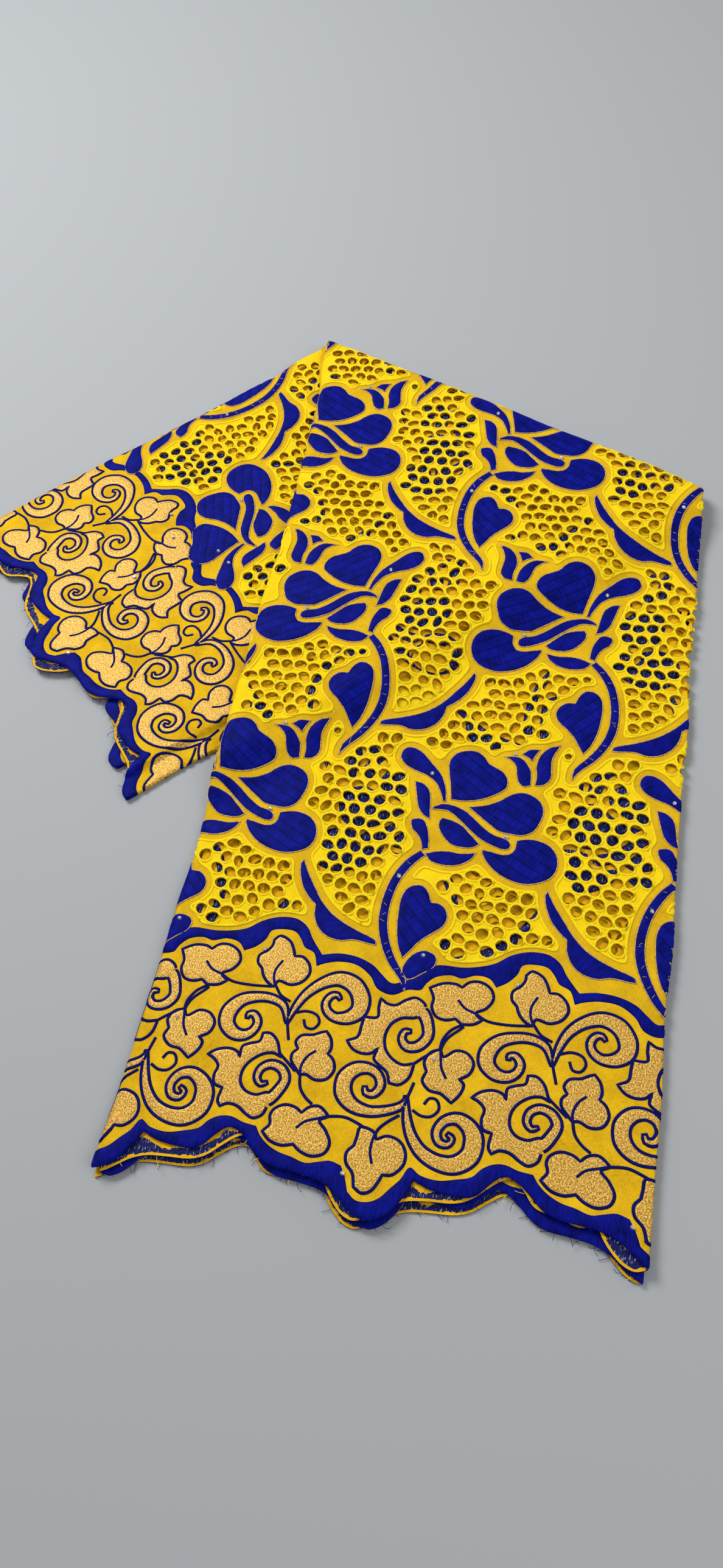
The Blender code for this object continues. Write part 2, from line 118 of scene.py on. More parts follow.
def across(p, w, curl_first, curl_last):
    """Distance across the band, height of the layer's middle, and offset in height."""
    curl_a, curl_b = np.maximum(curl_first, LEAST_CURL), np.maximum(curl_last, LEAST_CURL)
    reach_a, reach_b = CURL_0 - p, p - CURL_3
    turn_a, turn_b = reach_a * curl_a / CURL_RADIUS, reach_b * curl_b / CURL_RADIUS
    round_a, round_b = CURL_RADIUS / curl_a, CURL_RADIUS / curl_b
    turn_0 = math.pi / 2 - (p - LAYER_0[1]) / FOLD_RADIUS
    turn_1 = math.pi / 2 + (p - LAYER_1[1]) / FOLD_RADIUS
    turn_2 = math.pi / 2 - (p - LAYER_2[1]) / FOLD_RADIUS
    end_a = LAST_EDGE + CURL_LENGTH
    same, none = np.ones_like(p), np.zeros_like(p)
    zones = [
        ((p < LAYER_0[1]) & (reach_a > 0) & (curl_first >= LEAST_CURL),
         CURL_0 - (round_a + w) * np.sin(turn_a), TOP_Z * same,
         (round_a + w) * np.cos(turn_a) - round_a),
        (p < LAYER_0[1], p, TOP_Z * same, w),
        (p < LAYER_1[0], LAYER_0[1] + (FOLD_RADIUS + w) * np.cos(turn_0),
         LAYER_STEP + FOLD_RADIUS * np.sin(turn_0), w * np.sin(turn_0)),
        (p < LAYER_1[1], LAYER_0[1] - (p - LAYER_1[0]), FOLD_RADIUS * same, -w),
        (p < LAYER_2[0], LEFT_FOLD + FOLD_RADIUS + (FOLD_RADIUS - w) * np.cos(turn_1),
         FOLD_RADIUS * np.sin(turn_1), -w * np.sin(turn_1)),
        (p < LAYER_2[1], LEFT_FOLD + FOLD_RADIUS + (p - LAYER_2[0]), -FOLD_RADIUS * same, w),
        (p < LAYER_3[0], LAST_FOLD - FOLD_RADIUS + (FOLD_RADIUS + w) * np.cos(turn_2),
         -LAYER_STEP + FOLD_RADIUS * np.sin(turn_2), w * np.sin(turn_2)),
        ((reach_b <= 0) | (curl_last < LEAST_CURL), end_a - reach_b, -TOP_Z * same, -w),
        (none == 0, end_a - (round_b + w) * np.sin(turn_b), -TOP_Z * same,
         round_b - (round_b + w) * np.cos(turn_b)),
    ]
    where = [zone[0] for zone in zones]
    return [np.select(where, [zone[part] for zone in zones]) for part in (1, 2, 3)]


def ridge_distance(a, c):
    return a * math.sin(RIDGE_TILT) + (c - RIDGE_START) * math.cos(RIDGE_TILT)


def past_ridge(x, y):
    """How far a point of the cloth lies past the middle of the ridge."""
    p, c = cloth_to_stack(x, y)
    zero = np.zeros_like(p)
    return ridge_distance(across(p, zero, zero, zero)[0], c)


def rolling(waves, x, y):
    """Slow waves over the floor, added up."""
    return sum(size * np.sin(along_x * x + along_y * y + start) for along_x, along_y, start, size in waves)


def folded(x, y, w):
    """Points of the flat cloth, and heights w above its middle, to the folded lace in metres."""
    p, c = cloth_to_stack(np.asarray(x, float), np.asarray(y, float))
    zero = np.zeros_like(p)
    past = ridge_distance(across(p, zero, zero, zero)[0], c)
    free = np.where(p < (LAYER_1[0] + LAYER_0[1]) / 2, 1 - grown(past, FREE_TOP), 0.0)
    free = np.where(p > (LAYER_2[1] + LAYER_3[0]) / 2, grown(past, FREE_TURNED), free)
    w = np.minimum(w, THICK / 2) + np.maximum(w - THICK / 2, 0) * (RELIEF_UNDER + (1 - RELIEF_UNDER) * free)
    a, middle, offset = across(p, w, grown(past, CURL_0_GROWS), grown(past, CURL_3_GROWS))
    lowest = 1 - np.clip((middle + TOP_Z) / LAYER_STEP, 0, 1)
    a = a + TUCK * lowest * (1 - a / LAST_FOLD) * (1 - grown(past, TUCK_FADES))
    upper = np.clip((middle + FOLD_RADIUS) / LAYER_STEP, 0, 1)
    bend = ease((a - DROOP_FROM) / (DROOP_TO - DROOP_FROM))
    offset = offset + np.where(past > 0, DROOP * grown(past, DROOP_GROWS) * bend * (1 - upper), 0)
    narrow = (upper * NARROW_UNDER + (1 - upper) * NARROW_OVER) * grown(past, NARROW_GROWS)
    a = a * (1 - np.where(past > 0, narrow, 0))
    side = a / RIGHT_FOLD
    a = a + (1 - side) * read(SIDE_FLARE, c, 1) + side * read(SIDE_FLARE, c, 2)
    sine, cosine = math.sin(RIDGE_TILT), math.cos(RIDGE_TILT)
    along = a * cosine - (c - RIDGE_START) * sine
    past = ridge_distance(a, c)
    turn = read(((LAYER_1[0], RIDGE_RADIUS + TOP_Z), (LAYER_1[1], RIDGE_RADIUS),
                 (LAYER_2[0], RIDGE_RADIUS), (LAYER_2[1], RIDGE_RADIUS - TOP_Z)), p)
    radius, angle = RIDGE_RADIUS + middle + offset, past / turn
    under_x, under_y = UNDER_EDGE_RIGHT[0] - UNDER_EDGE_LEFT[0], UNDER_EDGE_RIGHT[1] - UNDER_EDGE_LEFT[1]
    inside = (under_x * (c - UNDER_EDGE_LEFT[1]) - under_y * (a - UNDER_EDGE_LEFT[0])) / math.hypot(
        under_x, under_y)
    out = np.where(angle <= 0, past, np.where(angle < math.pi, radius * np.sin(angle), math.pi * turn - past))
    z = np.where(angle <= 0, CENTRE_Z + radius - 2 * RIDGE_RADIUS * ease(-inside / STEP_RUN),
                 CENTRE_Z + radius * np.cos(np.minimum(angle, math.pi)))
    over = angle >= math.pi
    along = along + np.where(over, TURNED_SHEAR * out, 0)
    out = out - np.where(over, TURNED_SHEAR * math.tan(RIDGE_TILT) * out, 0)
    band_a = along * cosine + out * sine
    band_c = RIDGE_START - along * sine + out * cosine
    turn_c, turn_s = math.cos(BAND_TURN), math.sin(BAND_TURN)
    world_x = BAND_CORNER[0] + band_a * turn_c - band_c * turn_s
    world_y = BAND_CORNER[1] + band_a * turn_s + band_c * turn_c
    edge = np.minimum(y, CLOTH_WIDTH - y)
    waves = 1 + EDGE_WAVES[0] * np.sin(EDGE_WAVES[1] * world_x + EDGE_WAVES[2] * world_y)
    lift = EDGE_LIFT[0] * ease(1 - edge / EDGE_LIFT[1]) * waves
    z = z * (1 + rolling(SWELLS, world_x, world_y) + lift) + FLOOR_CLEARANCE
    return np.stack([world_x + rolling(SWAY_X, world_x, world_y),
                     world_y + rolling(SWAY_Y, world_x, world_y), z], axis=1)


# The pattern, charted flat in millimetres. One flower with its stem and leaves repeats along the
# selvage, and each row of flowers is the mirror of the row before. A third value of 1 is a corner.
FIRST_ROW = 0.2972
FLOWER_PHASE = (0.0374, 0.0794)
ROWS = 5
SHOWN_EDGE, SHOWN_SHARE = 0.004, 0.02     # a motif is shown when this share of its outline is
PETALS = {
    "heart_petal": ((-20, 19.5, 1), (-23, 33), (-26.5, 47), (-26.5, 55), (-22, 62), (-14, 65.5), (-6, 65),
                    (0, 61), (4, 56), (10, 53), (17, 49.5), (21.5, 43), (21.5, 36), (17, 31), (8, 25),
                    (0, 21.5), (-10, 19.5)),
    "drop_petal": ((-5.5, 15.5, 1), (8, 19), (18, 24.5), (26, 31), (34, 33.5), (43, 31.5), (50, 25), (52, 17),
                   (50, 8), (46, 0), (38, -4.5), (30, -4.5), (20, -3), (14, 1), (4, 8.5)),
    "kidney_petal": ((9, -19, 1), (16, -20), (24, -21.5), (30, -20.5), (33.5, -16), (34, -9, 1), (40, -7),
                     (50, -6.5), (60, -10), (66, -17), (67.5, -27), (64, -36), (56, -41.5), (45, -44),
                     (33, -42), (22, -37), (13, -29), (9, -22)),
    "heart_leaf": ((-34, -114, 1), (-39, -106), (-43, -94), (-45, -80), (-45, -68), (-42, -60), (-36, -56),
                   (-30, -56), (-25, -61), (-22, -68, 1), (-16, -68), (-10, -72), (-7.5, -79), (-10, -86),
                   (-18, -93), (-25, -100), (-30, -108)),
    "s_bar": ((-33, 12, 1), (-26, 15.5), (-18, 15.5), (-8, 12.5), (0, 7), (8, 0), (17, -6), (26, -8.5),
              (30, -12), (29.5, -16.5), (25, -18), (16, -15.5), (6, -10.5), (-2, -4), (-10, 3), (-20, 9.5),
              (-28, 10), (-33, 9.5, 1)),
    "pod": ((-24, 4, 1), (-17, 3), (-8, -0.5), (-1, -7), (7, -15, 1), (2, -18.5), (-6, -19.5), (-15, -17.5),
            (-22, -11), (-26, -4), (-26, 1)),
    "top_leaf": ((-65, 56), (-62, 60.5), (-55, 61), (-47, 57), (-40, 50), (-33, 43), (-29, 37.5), (-25, 28),
                 (-23, 17.5, 1), (-26, 17, 1), (-29, 24), (-34, 32), (-42, 37.5), (-52, 41), (-60, 45),
                 (-65, 51)),
    "upper_leaf": ((-50.5, 32, 1), (-44, 31), (-38, 26), (-35.5, 18), (-34.5, 10), (-33, 1, 1), (-39, 3.5),
                   (-44, 9), (-47, 18), (-49, 26)),
    "middle_leaf": ((-48, -2), (-44, 0.5), (-38, 0), (-34, -6), (-31.5, -14), (-30.5, -24, 1),
                    (-35.5, -26, 1), (-37.5, -19), (-41, -13.5), (-46, -9)),
    "lower_leaf": ((-33, -28.5, 1), (-25, -25), (-16, -23.5), (-6, -24), (5, -22, 1), (2, -28), (-6, -34),
                   (-17, -36.5), (-28, -34.5)),
    "wavy_leaf": ((-124, -47, 1), (-118, -58), (-110, -69), (-102, -79), (-92, -88), (-82, -94), (-70, -99),
                  (-56, -104), (-55, -108, 1), (-60, -108), (-72, -107), (-82, -109), (-92, -107),
                  (-100, -101), (-105, -92), (-106.5, -83, 1), (-113, -78), (-120, -70), (-124.5, -60),
                  (-126, -51)),
}
BUD = {
    "bud_left": ((14, 63, 1), (20, 64), (28, 63.5), (34, 59), (38.5, 52), (40, 40, 1), (34, 38.5), (29.5, 42),
                 (27, 49), (25, 56), (20, 60.5)),
    "bud_right": ((58, 77, 1), (50, 74), (44, 67), (42, 58), (43.5, 48), (43, 40.5, 1), (50, 42), (54, 48),
                  (53.5, 56), (53, 64), (55, 71)),
    "bud_back": ((28, 66, 1), (34, 71), (43, 72, 1), (40, 66), (38, 61, 1), (33, 64)),
}
BORDER_DROP = ((-33, -127, 1), (-32, -118), (-28, -110), (-21, -105), (-13, -106), (-9.5, -110), (-11, -117),
               (-18, -123), (-26, -129))
STEM = ((-34, -28, 3.0), (-42, -37, 3.6), (-49, -49, 3.7), (-53, -61, 3.7), (-55, -75, 3.7), (-54, -90, 3.7),
        (-49, -104, 3.6), (-41, -117, 3.4), (-31, -129, 2.6), (-28, -138, 0.5))

# The wave band runs between the net and the border. The scallop band follows the edge.
WAVE_UPPER = ((21.8, 179), (30, 183.3), (47, 183.8), (60, 186.2), (70, 190), (79, 196.8), (89, 201.1),
              (99, 202.5), (108, 201.3), (116, 196), (121.5, 187.7), (131, 176.5, 1), (143, 178.9),
              (157, 178.3), (170, 174.3), (178, 168.5), (186, 163.3), (194, 166.5), (203, 172.3))
WAVE_LOWER = ((20.7, 161.9), (23.7, 167.6), (29.7, 173.8), (39.6, 176.6), (47.5, 175.3), (57.4, 178.7),
              (67.3, 177.5), (73.2, 171.7, 1), (81, 176.4), (87, 183.6), (89, 190.2), (96, 192.4),
              (106.8, 191.8), (112.8, 186.4), (116.7, 180.6), (124.6, 176.8), (128.6, 167, 1), (135.5, 170.2),
              (145.4, 172.5), (158.3, 171.9), (170.1, 165.3), (176, 157.5), (184, 154.3), (190, 155),
              (197.8, 160.2))
SCALLOP_EDGE = ((40, 31, 1), (50, 27.5), (62, 26), (74, 26), (81, 29), (88, 37), (96, 43.5), (104, 41.5),
                (111, 36.5), (123, 26.5), (133, 22.5), (150, 21), (164, 19), (174, 14.5), (182, 8.5),
                (190, 3), (198.5, 0), (206.5, 2.5), (213, 8), (219, 15.5), (223, 23.5))
SCALLOP_INNER = ((30, 41), (38, 37), (50, 35.5), (62, 38), (72, 41), (78, 47), (85, 50.5), (93, 51),
                 (102, 48), (112, 46.5, 1), (116, 41), (123, 35.5), (132, 31.5), (142, 29.5), (152, 27),
                 (160, 29), (168, 31), (176, 29, 1), (180, 22), (183.5, 13, 1), (190, 8.5), (199, 9),
                 (206, 13), (211, 19), (217, 26))
REPEATS = range(-9, 10)                 # enough for both selvages, before they are cut to length
FLOWER_COLUMNS = range(-1, 9)           # enough for the length of the cloth
FLOWERS = [(row, column) for row in range(ROWS) for column in FLOWER_COLUMNS]
EDGE_POINTS = 2.6                       # millimetres from point to point along a band
BORDER_MIDDLE = (100, 190)              # the chart of the border leans and widens about this place
BORDER_LEANS, BORDER_WIDENS = (0.042, 0.032), (1.011, 0.000136)


def smooth_line(points, step=2.0, closed=True):
    """A smooth line through charted points, in the chart's unit."""
    at = np.array([point[:2] for point in points], float)
    sharp = [len(point) > 2 for point in points]
    count = len(points)
    line = []
    for i in range(count if closed else count - 1):
        j = (i + 1) % count
        run = at[j] - at[i]
        length = np.linalg.norm(run)
        leave, arrive = run, run
        if not sharp[i] and (closed or i > 0):
            back = at[i] - at[i - 1]
            leave = (run + back) * length / (length + np.linalg.norm(back))
        if not sharp[j] and (closed or j + 1 < count):
            ahead = at[(j + 1) % count] - at[j]
            arrive = (run + ahead) * length / (length + np.linalg.norm(ahead))
        pieces = max(1, math.ceil(length / step))
        t = (np.arange(pieces) / pieces)[:, None]
        line.append(at[i] * (1 + 2 * t) * (1 - t) ** 2 + leave * t * (1 - t) ** 2
                    + at[j] * t * t * (3 - 2 * t) + arrive * t * t * (t - 1))
    if not closed:
        line.append(at[-1:])
    return np.concatenate(line)


def repeated(points, period=REPEAT / MM):
    """One repeat of an edge, set end to end along the whole selvage."""
    return [(point[0] + k * period, *point[1:]) for k in REPEATS for point in points]


def border_point(a, c, *corner):
    """The border was measured a little aslant, which is straightened here."""
    out = BORDER_MIDDLE[1] - c
    return ((a + BORDER_LEANS[0] * out) / (BORDER_WIDENS[0] + BORDER_WIDENS[1] * out),
            c + BORDER_LEANS[1] * (a - BORDER_MIDDLE[0]), *corner)


def right_of(line, closed=False):
    """Unit vectors to the right of a line, at each of its points."""
    run = np.roll(line, -1, axis=0) - np.roll(line, 1, axis=0) if closed else np.gradient(line, axis=0)
    length = np.maximum(np.linalg.norm(run, axis=1), 1e-9)
    return np.stack([run[:, 1], -run[:, 0]], axis=1) / length[:, None]


def stroke(points, step=2.0):
    """The outline of a tapering line, from its middle points and half widths."""
    middle = smooth_line([point[:2] for point in points], step, closed=False)
    chart = np.array(points, float)
    along = np.concatenate([[0], np.cumsum(np.linalg.norm(np.diff(middle, axis=0), axis=1))])
    place = np.array([along[np.argmin(np.linalg.norm(middle - point[:2], axis=1))] for point in chart])
    half = np.interp(along, np.maximum.accumulate(place), chart[:, 2])
    side = right_of(middle) * half[:, None]
    return np.concatenate([middle - side, (middle + side)[::-1]])


def flower_place(row, column):
    """Middle and handedness of one flower on the cloth, in metres."""
    return (np.array([FLOWER_PHASE[row % 2] + column * REPEAT, FIRST_ROW + row * ROW_STEP]),
            np.array([-1.0 if row % 2 else 1.0, 1.0]))


def flower_rings(row, column, step=2.0):
    """Name and outline of each blue shape of a flower, in metres on the cloth."""
    middle, hand = flower_place(row, column)
    shapes = {name: smooth_line(points, step) for name, points in PETALS.items()}
    shapes["stem"] = stroke(STEM, step)
    if row < ROWS - 1:
        shapes.update({name: smooth_line(points, step) for name, points in BUD.items()})
    if row == 0:
        shapes["border_drop"] = smooth_line(BORDER_DROP, step)
    rings = {}
    for name, line in shapes.items():
        ring = middle + line * hand * MM
        rings[name] = ring[::-1] if hand[0] < 0 else ring
    return rings


def far_side(points):
    """The far selvage is the mirror image of the near one."""
    return np.asarray(points) * (1, -1) + (0, CLOTH_WIDTH)


SCALLOP_LINE, SCALLOP_INSIDE, WAVE_TOP, WAVE_BOTTOM = (
    smooth_line(repeated(chart), EDGE_POINTS, closed=False) * MM
    for chart in (SCALLOP_EDGE, [border_point(*point) for point in SCALLOP_INNER], WAVE_UPPER, WAVE_LOWER))


# The net. Its eyelets lie in an uneven lattice between the motifs, and its bars are padded.
NET_GAP, BORDER_GAP = 0.0056, 0.0040      # voile left plain round a motif and along the wave band
HOLE_COLUMNS = 15                         # in one repeat
HOLE_PITCH = (REPEAT / HOLE_COLUMNS, ROW_STEP / 17)
HOLE_SIZE = (0.0058, 0.0050)              # half of a hole's length and width
HOLE_LEAST, HOLE_EDGE, HOLE_BAR = 0.34, 0.0010, 0.0019
HOLE_APART, HOLE_NEAR, HOLE_BETWEEN, HOLE_WOBBLE = 0.0116, 0.0040, 0.001, 0.05
HOLE_STRAY, HOLE_TURN, HOLE_STRETCH = 0.0014, 0.5, 0.08
HOLE_ROUNDS, PUSH_IN, PUSH_APART = 20, 0.5, 0.25      # how the holes push each other apart
HOLE_END, EDGE_END = 0.0105, 0.001        # no hole and no edge point nearer than this to a cut end
HIDDEN_PAST = 0.02                        # the net inside the fold is cut on this side of the ridge
LEAST_NET = 0.0008                        # square metres
NET_PADDING, PADDING_RUN = 0.0008, 0.0025           # the net's bars are padded this high, over this run
FIELD_STEP = REPEAT / 72
FIELD_REACH, WAVE_REACH = 0.03, 0.06      # how far round a motif and a wave band it is measured
DEEPEST, PLAIN = 0.05, -0.0005            # the field's largest value, and its value in plain voile
LINE_STEP = 0.0023                        # from point to point along the net's edge
LOOSE_STEP, FOLD_STEP, CURL_STEP = 0.0075, 0.006, 0.008         # between loose points
LOOSE_START = (0.008, 0.004)
LOOSE_AWAY, LOOSE_IN = 0.0012, 0.0006     # how far those keep from a line, and reach into the net
SHOWN_HOLE_SIDES, HIDDEN_HOLE_SIDES = 9, 6
HOLE_MARGIN, LOOSE_MARGIN = 0.012, 0.010
FOLD_ARCS = ((LAYER_0[1], CLOTH_1[0]), (CLOTH_1[1], CLOTH_2[0]), (CLOTH_2[1], CLOTH_3[0]))
CURL_ENDS = ((CLOTH_LENGTH[0], CURL_0), (CLOTH_LENGTH[1] - CURL_LENGTH, CLOTH_LENGTH[1]))
ARC_LINES, CURL_LINES, RIDGE_LINES, DROOP_LINES = 7, 4, 9, 5
DROOP_RUN = np.linspace(DROOP_FROM, DROOP_TO, DROOP_LINES)
FOLD_LINES = [x for low, high in FOLD_ARCS for x in np.linspace(low, high, ARC_LINES)]
FOLD_LINES += list(CLOTH_3[0] + LAST_FOLD - FOLD_RADIUS - DROOP_RUN)
FOLD_LINES += list(np.interp(LAYER_2[0] + DROOP_RUN - LEFT_FOLD - FOLD_RADIUS, LAYER_2, CLOTH_2))
random = np.random.default_rng(1207)


def signed_gap(at, ring):
    """Distance from points to a closed ring, negative inside it."""
    if len(at) > 2000:
        return np.concatenate([signed_gap(at[k:k + 2000], ring) for k in range(0, len(at), 2000)])
    run = np.roll(ring, -1, axis=0) - ring
    off = at[:, None, :] - ring[None]
    share = np.clip((off * run).sum(2) / np.maximum((run ** 2).sum(1), 1e-16), 0, 1)
    near = np.sqrt(((off - share[..., None] * run) ** 2).sum(2).min(1))
    above = ring[:, 1] > at[:, None, 1]
    slope = run[:, 0] / np.where(run[:, 1] == 0, 1e-12, run[:, 1])
    crossed = (above != np.roll(above, -1, axis=1)) & (off[..., 0] < slope * off[..., 1])
    return np.where(crossed.sum(1) % 2 == 1, -near, near)


def without_islands(field):
    """Turn pieces of net too small for a few eyelets back into plain voile."""
    rows, columns = field.shape
    left = {(j, i) for j, i in np.argwhere(field > 0).tolist()}
    while left:
        island, edge = [], [left.pop()]
        while edge:
            j, i = edge.pop()
            island.append((j, i))
            for spot in ((j, (i + 1) % columns), (j, (i - 1) % columns), (j + 1, i), (j - 1, i)):
                if spot in left:
                    left.remove(spot)
                    edge.append(spot)
        if len(island) * FIELD_STEP ** 2 < LEAST_NET:
            for spot in island:
                field[spot] = PLAIN
    return field


def net_field():
    """How far each point of one repeat lies inside the net, from selvage to selvage."""
    columns, rows = round(REPEAT / FIELD_STEP), int(CLOTH_WIDTH / FIELD_STEP) + 2
    xs, ys = np.arange(columns) * FIELD_STEP, np.arange(rows) * FIELD_STEP
    grid = np.stack(np.meshgrid(xs, ys), axis=2)
    field = np.full((rows, columns), DEEPEST)
    for far in (False, True):
        line = far_side(WAVE_TOP) if far else WAVE_TOP
        line = line[(line[:, 0] > -WAVE_REACH) & (line[:, 0] < REPEAT + WAVE_REACH)]
        near = np.sqrt(((grid[:, :, None] - line) ** 2).sum(3).min(2))
        above = grid[:, :, 1] - np.interp(grid[:, :, 0], line[:, 0], line[:, 1])
        field = np.minimum(field, np.where(-above > 0 if far else above > 0, near, -near) - BORDER_GAP)
    for row in range(ROWS):
        for ring in [ring for k in range(-1, 3) for ring in flower_rings(row, k, 3.0).values()]:
            column = (xs > ring[:, 0].min() - FIELD_REACH) & (xs < ring[:, 0].max() + FIELD_REACH)
            level = (ys > ring[:, 1].min() - FIELD_REACH) & (ys < ring[:, 1].max() + FIELD_REACH)
            if column.any() and level.any():
                block = np.ix_(level, column)
                gap = signed_gap(grid[block].reshape(-1, 2), ring).reshape(grid[block].shape[:2])
                field[block] = np.minimum(field[block], gap - NET_GAP)
    return without_islands(field)


NET_FIELD = net_field()


def net_depth(x, y):
    """The field between its grid points, at any place on the cloth."""
    rows, columns = NET_FIELD.shape
    u, v = np.asarray(x) / FIELD_STEP, np.clip(np.asarray(y) / FIELD_STEP, 0, rows - 1.001)
    i, j = np.floor(u).astype(int), np.floor(v).astype(int)
    s, t = u - i, v - j
    left, right = i % columns, (i + 1) % columns
    low = NET_FIELD[j, left] * (1 - s) + NET_FIELD[j, right] * s
    high = NET_FIELD[j + 1, left] * (1 - s) + NET_FIELD[j + 1, right] * s
    return low * (1 - t) + high * t


def past_and_layer(x, y):
    """Distance past the ridge, and the number of the layer, for places on the cloth."""
    layer = np.digitize(x, [(arc[0] + arc[1]) / 2 for arc in FOLD_ARCS])
    return past_ridge(x, y), layer


UPPER_PAST, UPPER_ROUND = 0.020, 0.004              # how far the upper panel shows past ridge and fold
TURNED_PAST, TURNED_ROUND, TURNED_SIDE = 0.008, 0.020, 0.012


def shown(x, y, margin=0.0):
    """Whether the face of the cloth can be seen there: on the upper panel, or on the turned one."""
    x, y = np.asarray(x, float), np.asarray(y, float)
    past, layer = past_and_layer(x, y)
    place = folded(x, y, np.zeros_like(x))[:, :2] - BAND_CORNER
    from_side = place[:, 0] * math.cos(BAND_TURN) + place[:, 1] * math.sin(BAND_TURN)
    upper = ((layer == 0) | (x < CLOTH_1[0] + UPPER_ROUND)) & (past < UPPER_PAST + margin)
    turned = ((layer == 3) | (x > CLOTH_2[1] - TURNED_ROUND)) & (past > TURNED_PAST - margin)
    return upper | turned & (from_side < TURNED_SIDE + margin)


def outline_shown(line):
    """Whether enough of a motif's outline can be seen for it to be worked finely."""
    return shown(*line.T, SHOWN_EDGE).mean() > SHOWN_SHARE


def apart_and_away(spots):
    """Vectors and distances between the spots of one repeat, which meets itself at its ends."""
    apart = spots[:, None] - spots[None]
    apart[:, :, 0] -= REPEAT * np.round(apart[:, :, 0] / REPEAT)
    return apart, np.sqrt((apart ** 2).sum(2)) + np.eye(len(spots))


def net_slope(x, y, probe=0.001):
    """Which way the net's edge lies furthest."""
    return np.stack([net_depth(x + probe, y) - net_depth(x - probe, y),
                     net_depth(x, y + probe) - net_depth(x, y - probe)], axis=1) / (2 * probe)


def net_holes():
    """Places, sizes and turns of the eyelets of one repeat, loosened from an even lattice."""
    spots = []
    for row in range(round(CLOTH_WIDTH / HOLE_PITCH[1])):
        for column in range(HOLE_COLUMNS):
            spots.append(((column + 0.5 * (row % 2)) * HOLE_PITCH[0], (row + 0.3) * HOLE_PITCH[1]))
    spots = np.array(spots) + random.normal(0, HOLE_STRAY, (len(spots), 2))
    spots = spots[net_depth(*spots.T) > HOLE_EDGE]
    for turn in range(HOLE_ROUNDS):
        outside = np.maximum(0, HOLE_SIZE[1] + HOLE_EDGE - net_depth(*spots.T))
        push = net_slope(*spots.T) * outside[:, None] * PUSH_IN
        apart, away = apart_and_away(spots)
        near = np.maximum(0, HOLE_APART - away) / away
        push += (apart * near[:, :, None]).sum(1) * PUSH_APART
        spots = spots + push
    size = np.clip((net_depth(*spots.T) - HOLE_EDGE) / HOLE_SIZE[1], 0, 1)
    away = apart_and_away(spots)[1]
    kept = []
    for i in np.argsort(-size):
        if size[i] > HOLE_LEAST and all(away[i, k] > (size[i] + size[k]) * HOLE_NEAR + HOLE_BETWEEN
                                        for k in kept):
            kept.append(i)
    kept = np.array(kept)
    nearest = away[np.ix_(kept, kept)].min(1)
    size = np.minimum(size[kept], (nearest - HOLE_BAR) / (HOLE_SIZE[0] + HOLE_SIZE[1]))
    turn = random.normal(0, HOLE_TURN, len(kept))
    stretch = random.normal(1, HOLE_STRETCH, len(kept))
    wide = size > HOLE_LEAST * 0.85
    return [part[wide] for part in (spots[kept], size, turn, stretch)]


def ellipses(spots, size, turn, stretch, sides):
    """Rings of points round every eyelet, none of them quite round."""
    angle = 2 * math.pi * (np.arange(sides) + 0.5) / sides
    waves = np.sin(2 * angle + turn[:, None] * 9) + np.sin(3 * angle + turn[:, None] * 31)
    uneven = 1 + HOLE_WOBBLE * waves / 1.4
    along = (HOLE_SIZE[0] * size * stretch)[:, None] * np.cos(angle) * uneven
    over = (HOLE_SIZE[1] * size / stretch)[:, None] * np.sin(angle) * uneven
    cosine, sine = np.cos(turn)[:, None], np.sin(turn)[:, None]
    return np.stack([spots[:, :1] + along * cosine - over * sine,
                     spots[:, 1:] + along * sine + over * cosine], axis=2)


def whole_cloth(spots, *rest):
    """Repeat one period's eyelets along the cloth, leaving out those on a fold or a cut end."""
    places = np.concatenate([spots + (k * REPEAT, 0) for k in FLOWER_COLUMNS])
    others = [np.concatenate([part] * len(FLOWER_COLUMNS)) for part in rest]
    keep = (places[:, 0] > CLOTH_LENGTH[0] + HOLE_END) & (places[:, 0] < CLOTH_LENGTH[1] - HOLE_END)
    return [part[keep] for part in (places, *others)]


def edge_line(far):
    """The scalloped edge between the two cut ends."""
    line = far_side(SCALLOP_LINE) if far else SCALLOP_LINE
    inside = (line[:, 0] > CLOTH_LENGTH[0] + EDGE_END) & (line[:, 0] < CLOTH_LENGTH[1] - EDGE_END)
    ends = [(end, np.interp(end, line[:, 0], line[:, 1])) for end in CLOTH_LENGTH]
    return np.concatenate([[ends[0]], line[inside], [ends[1]]])


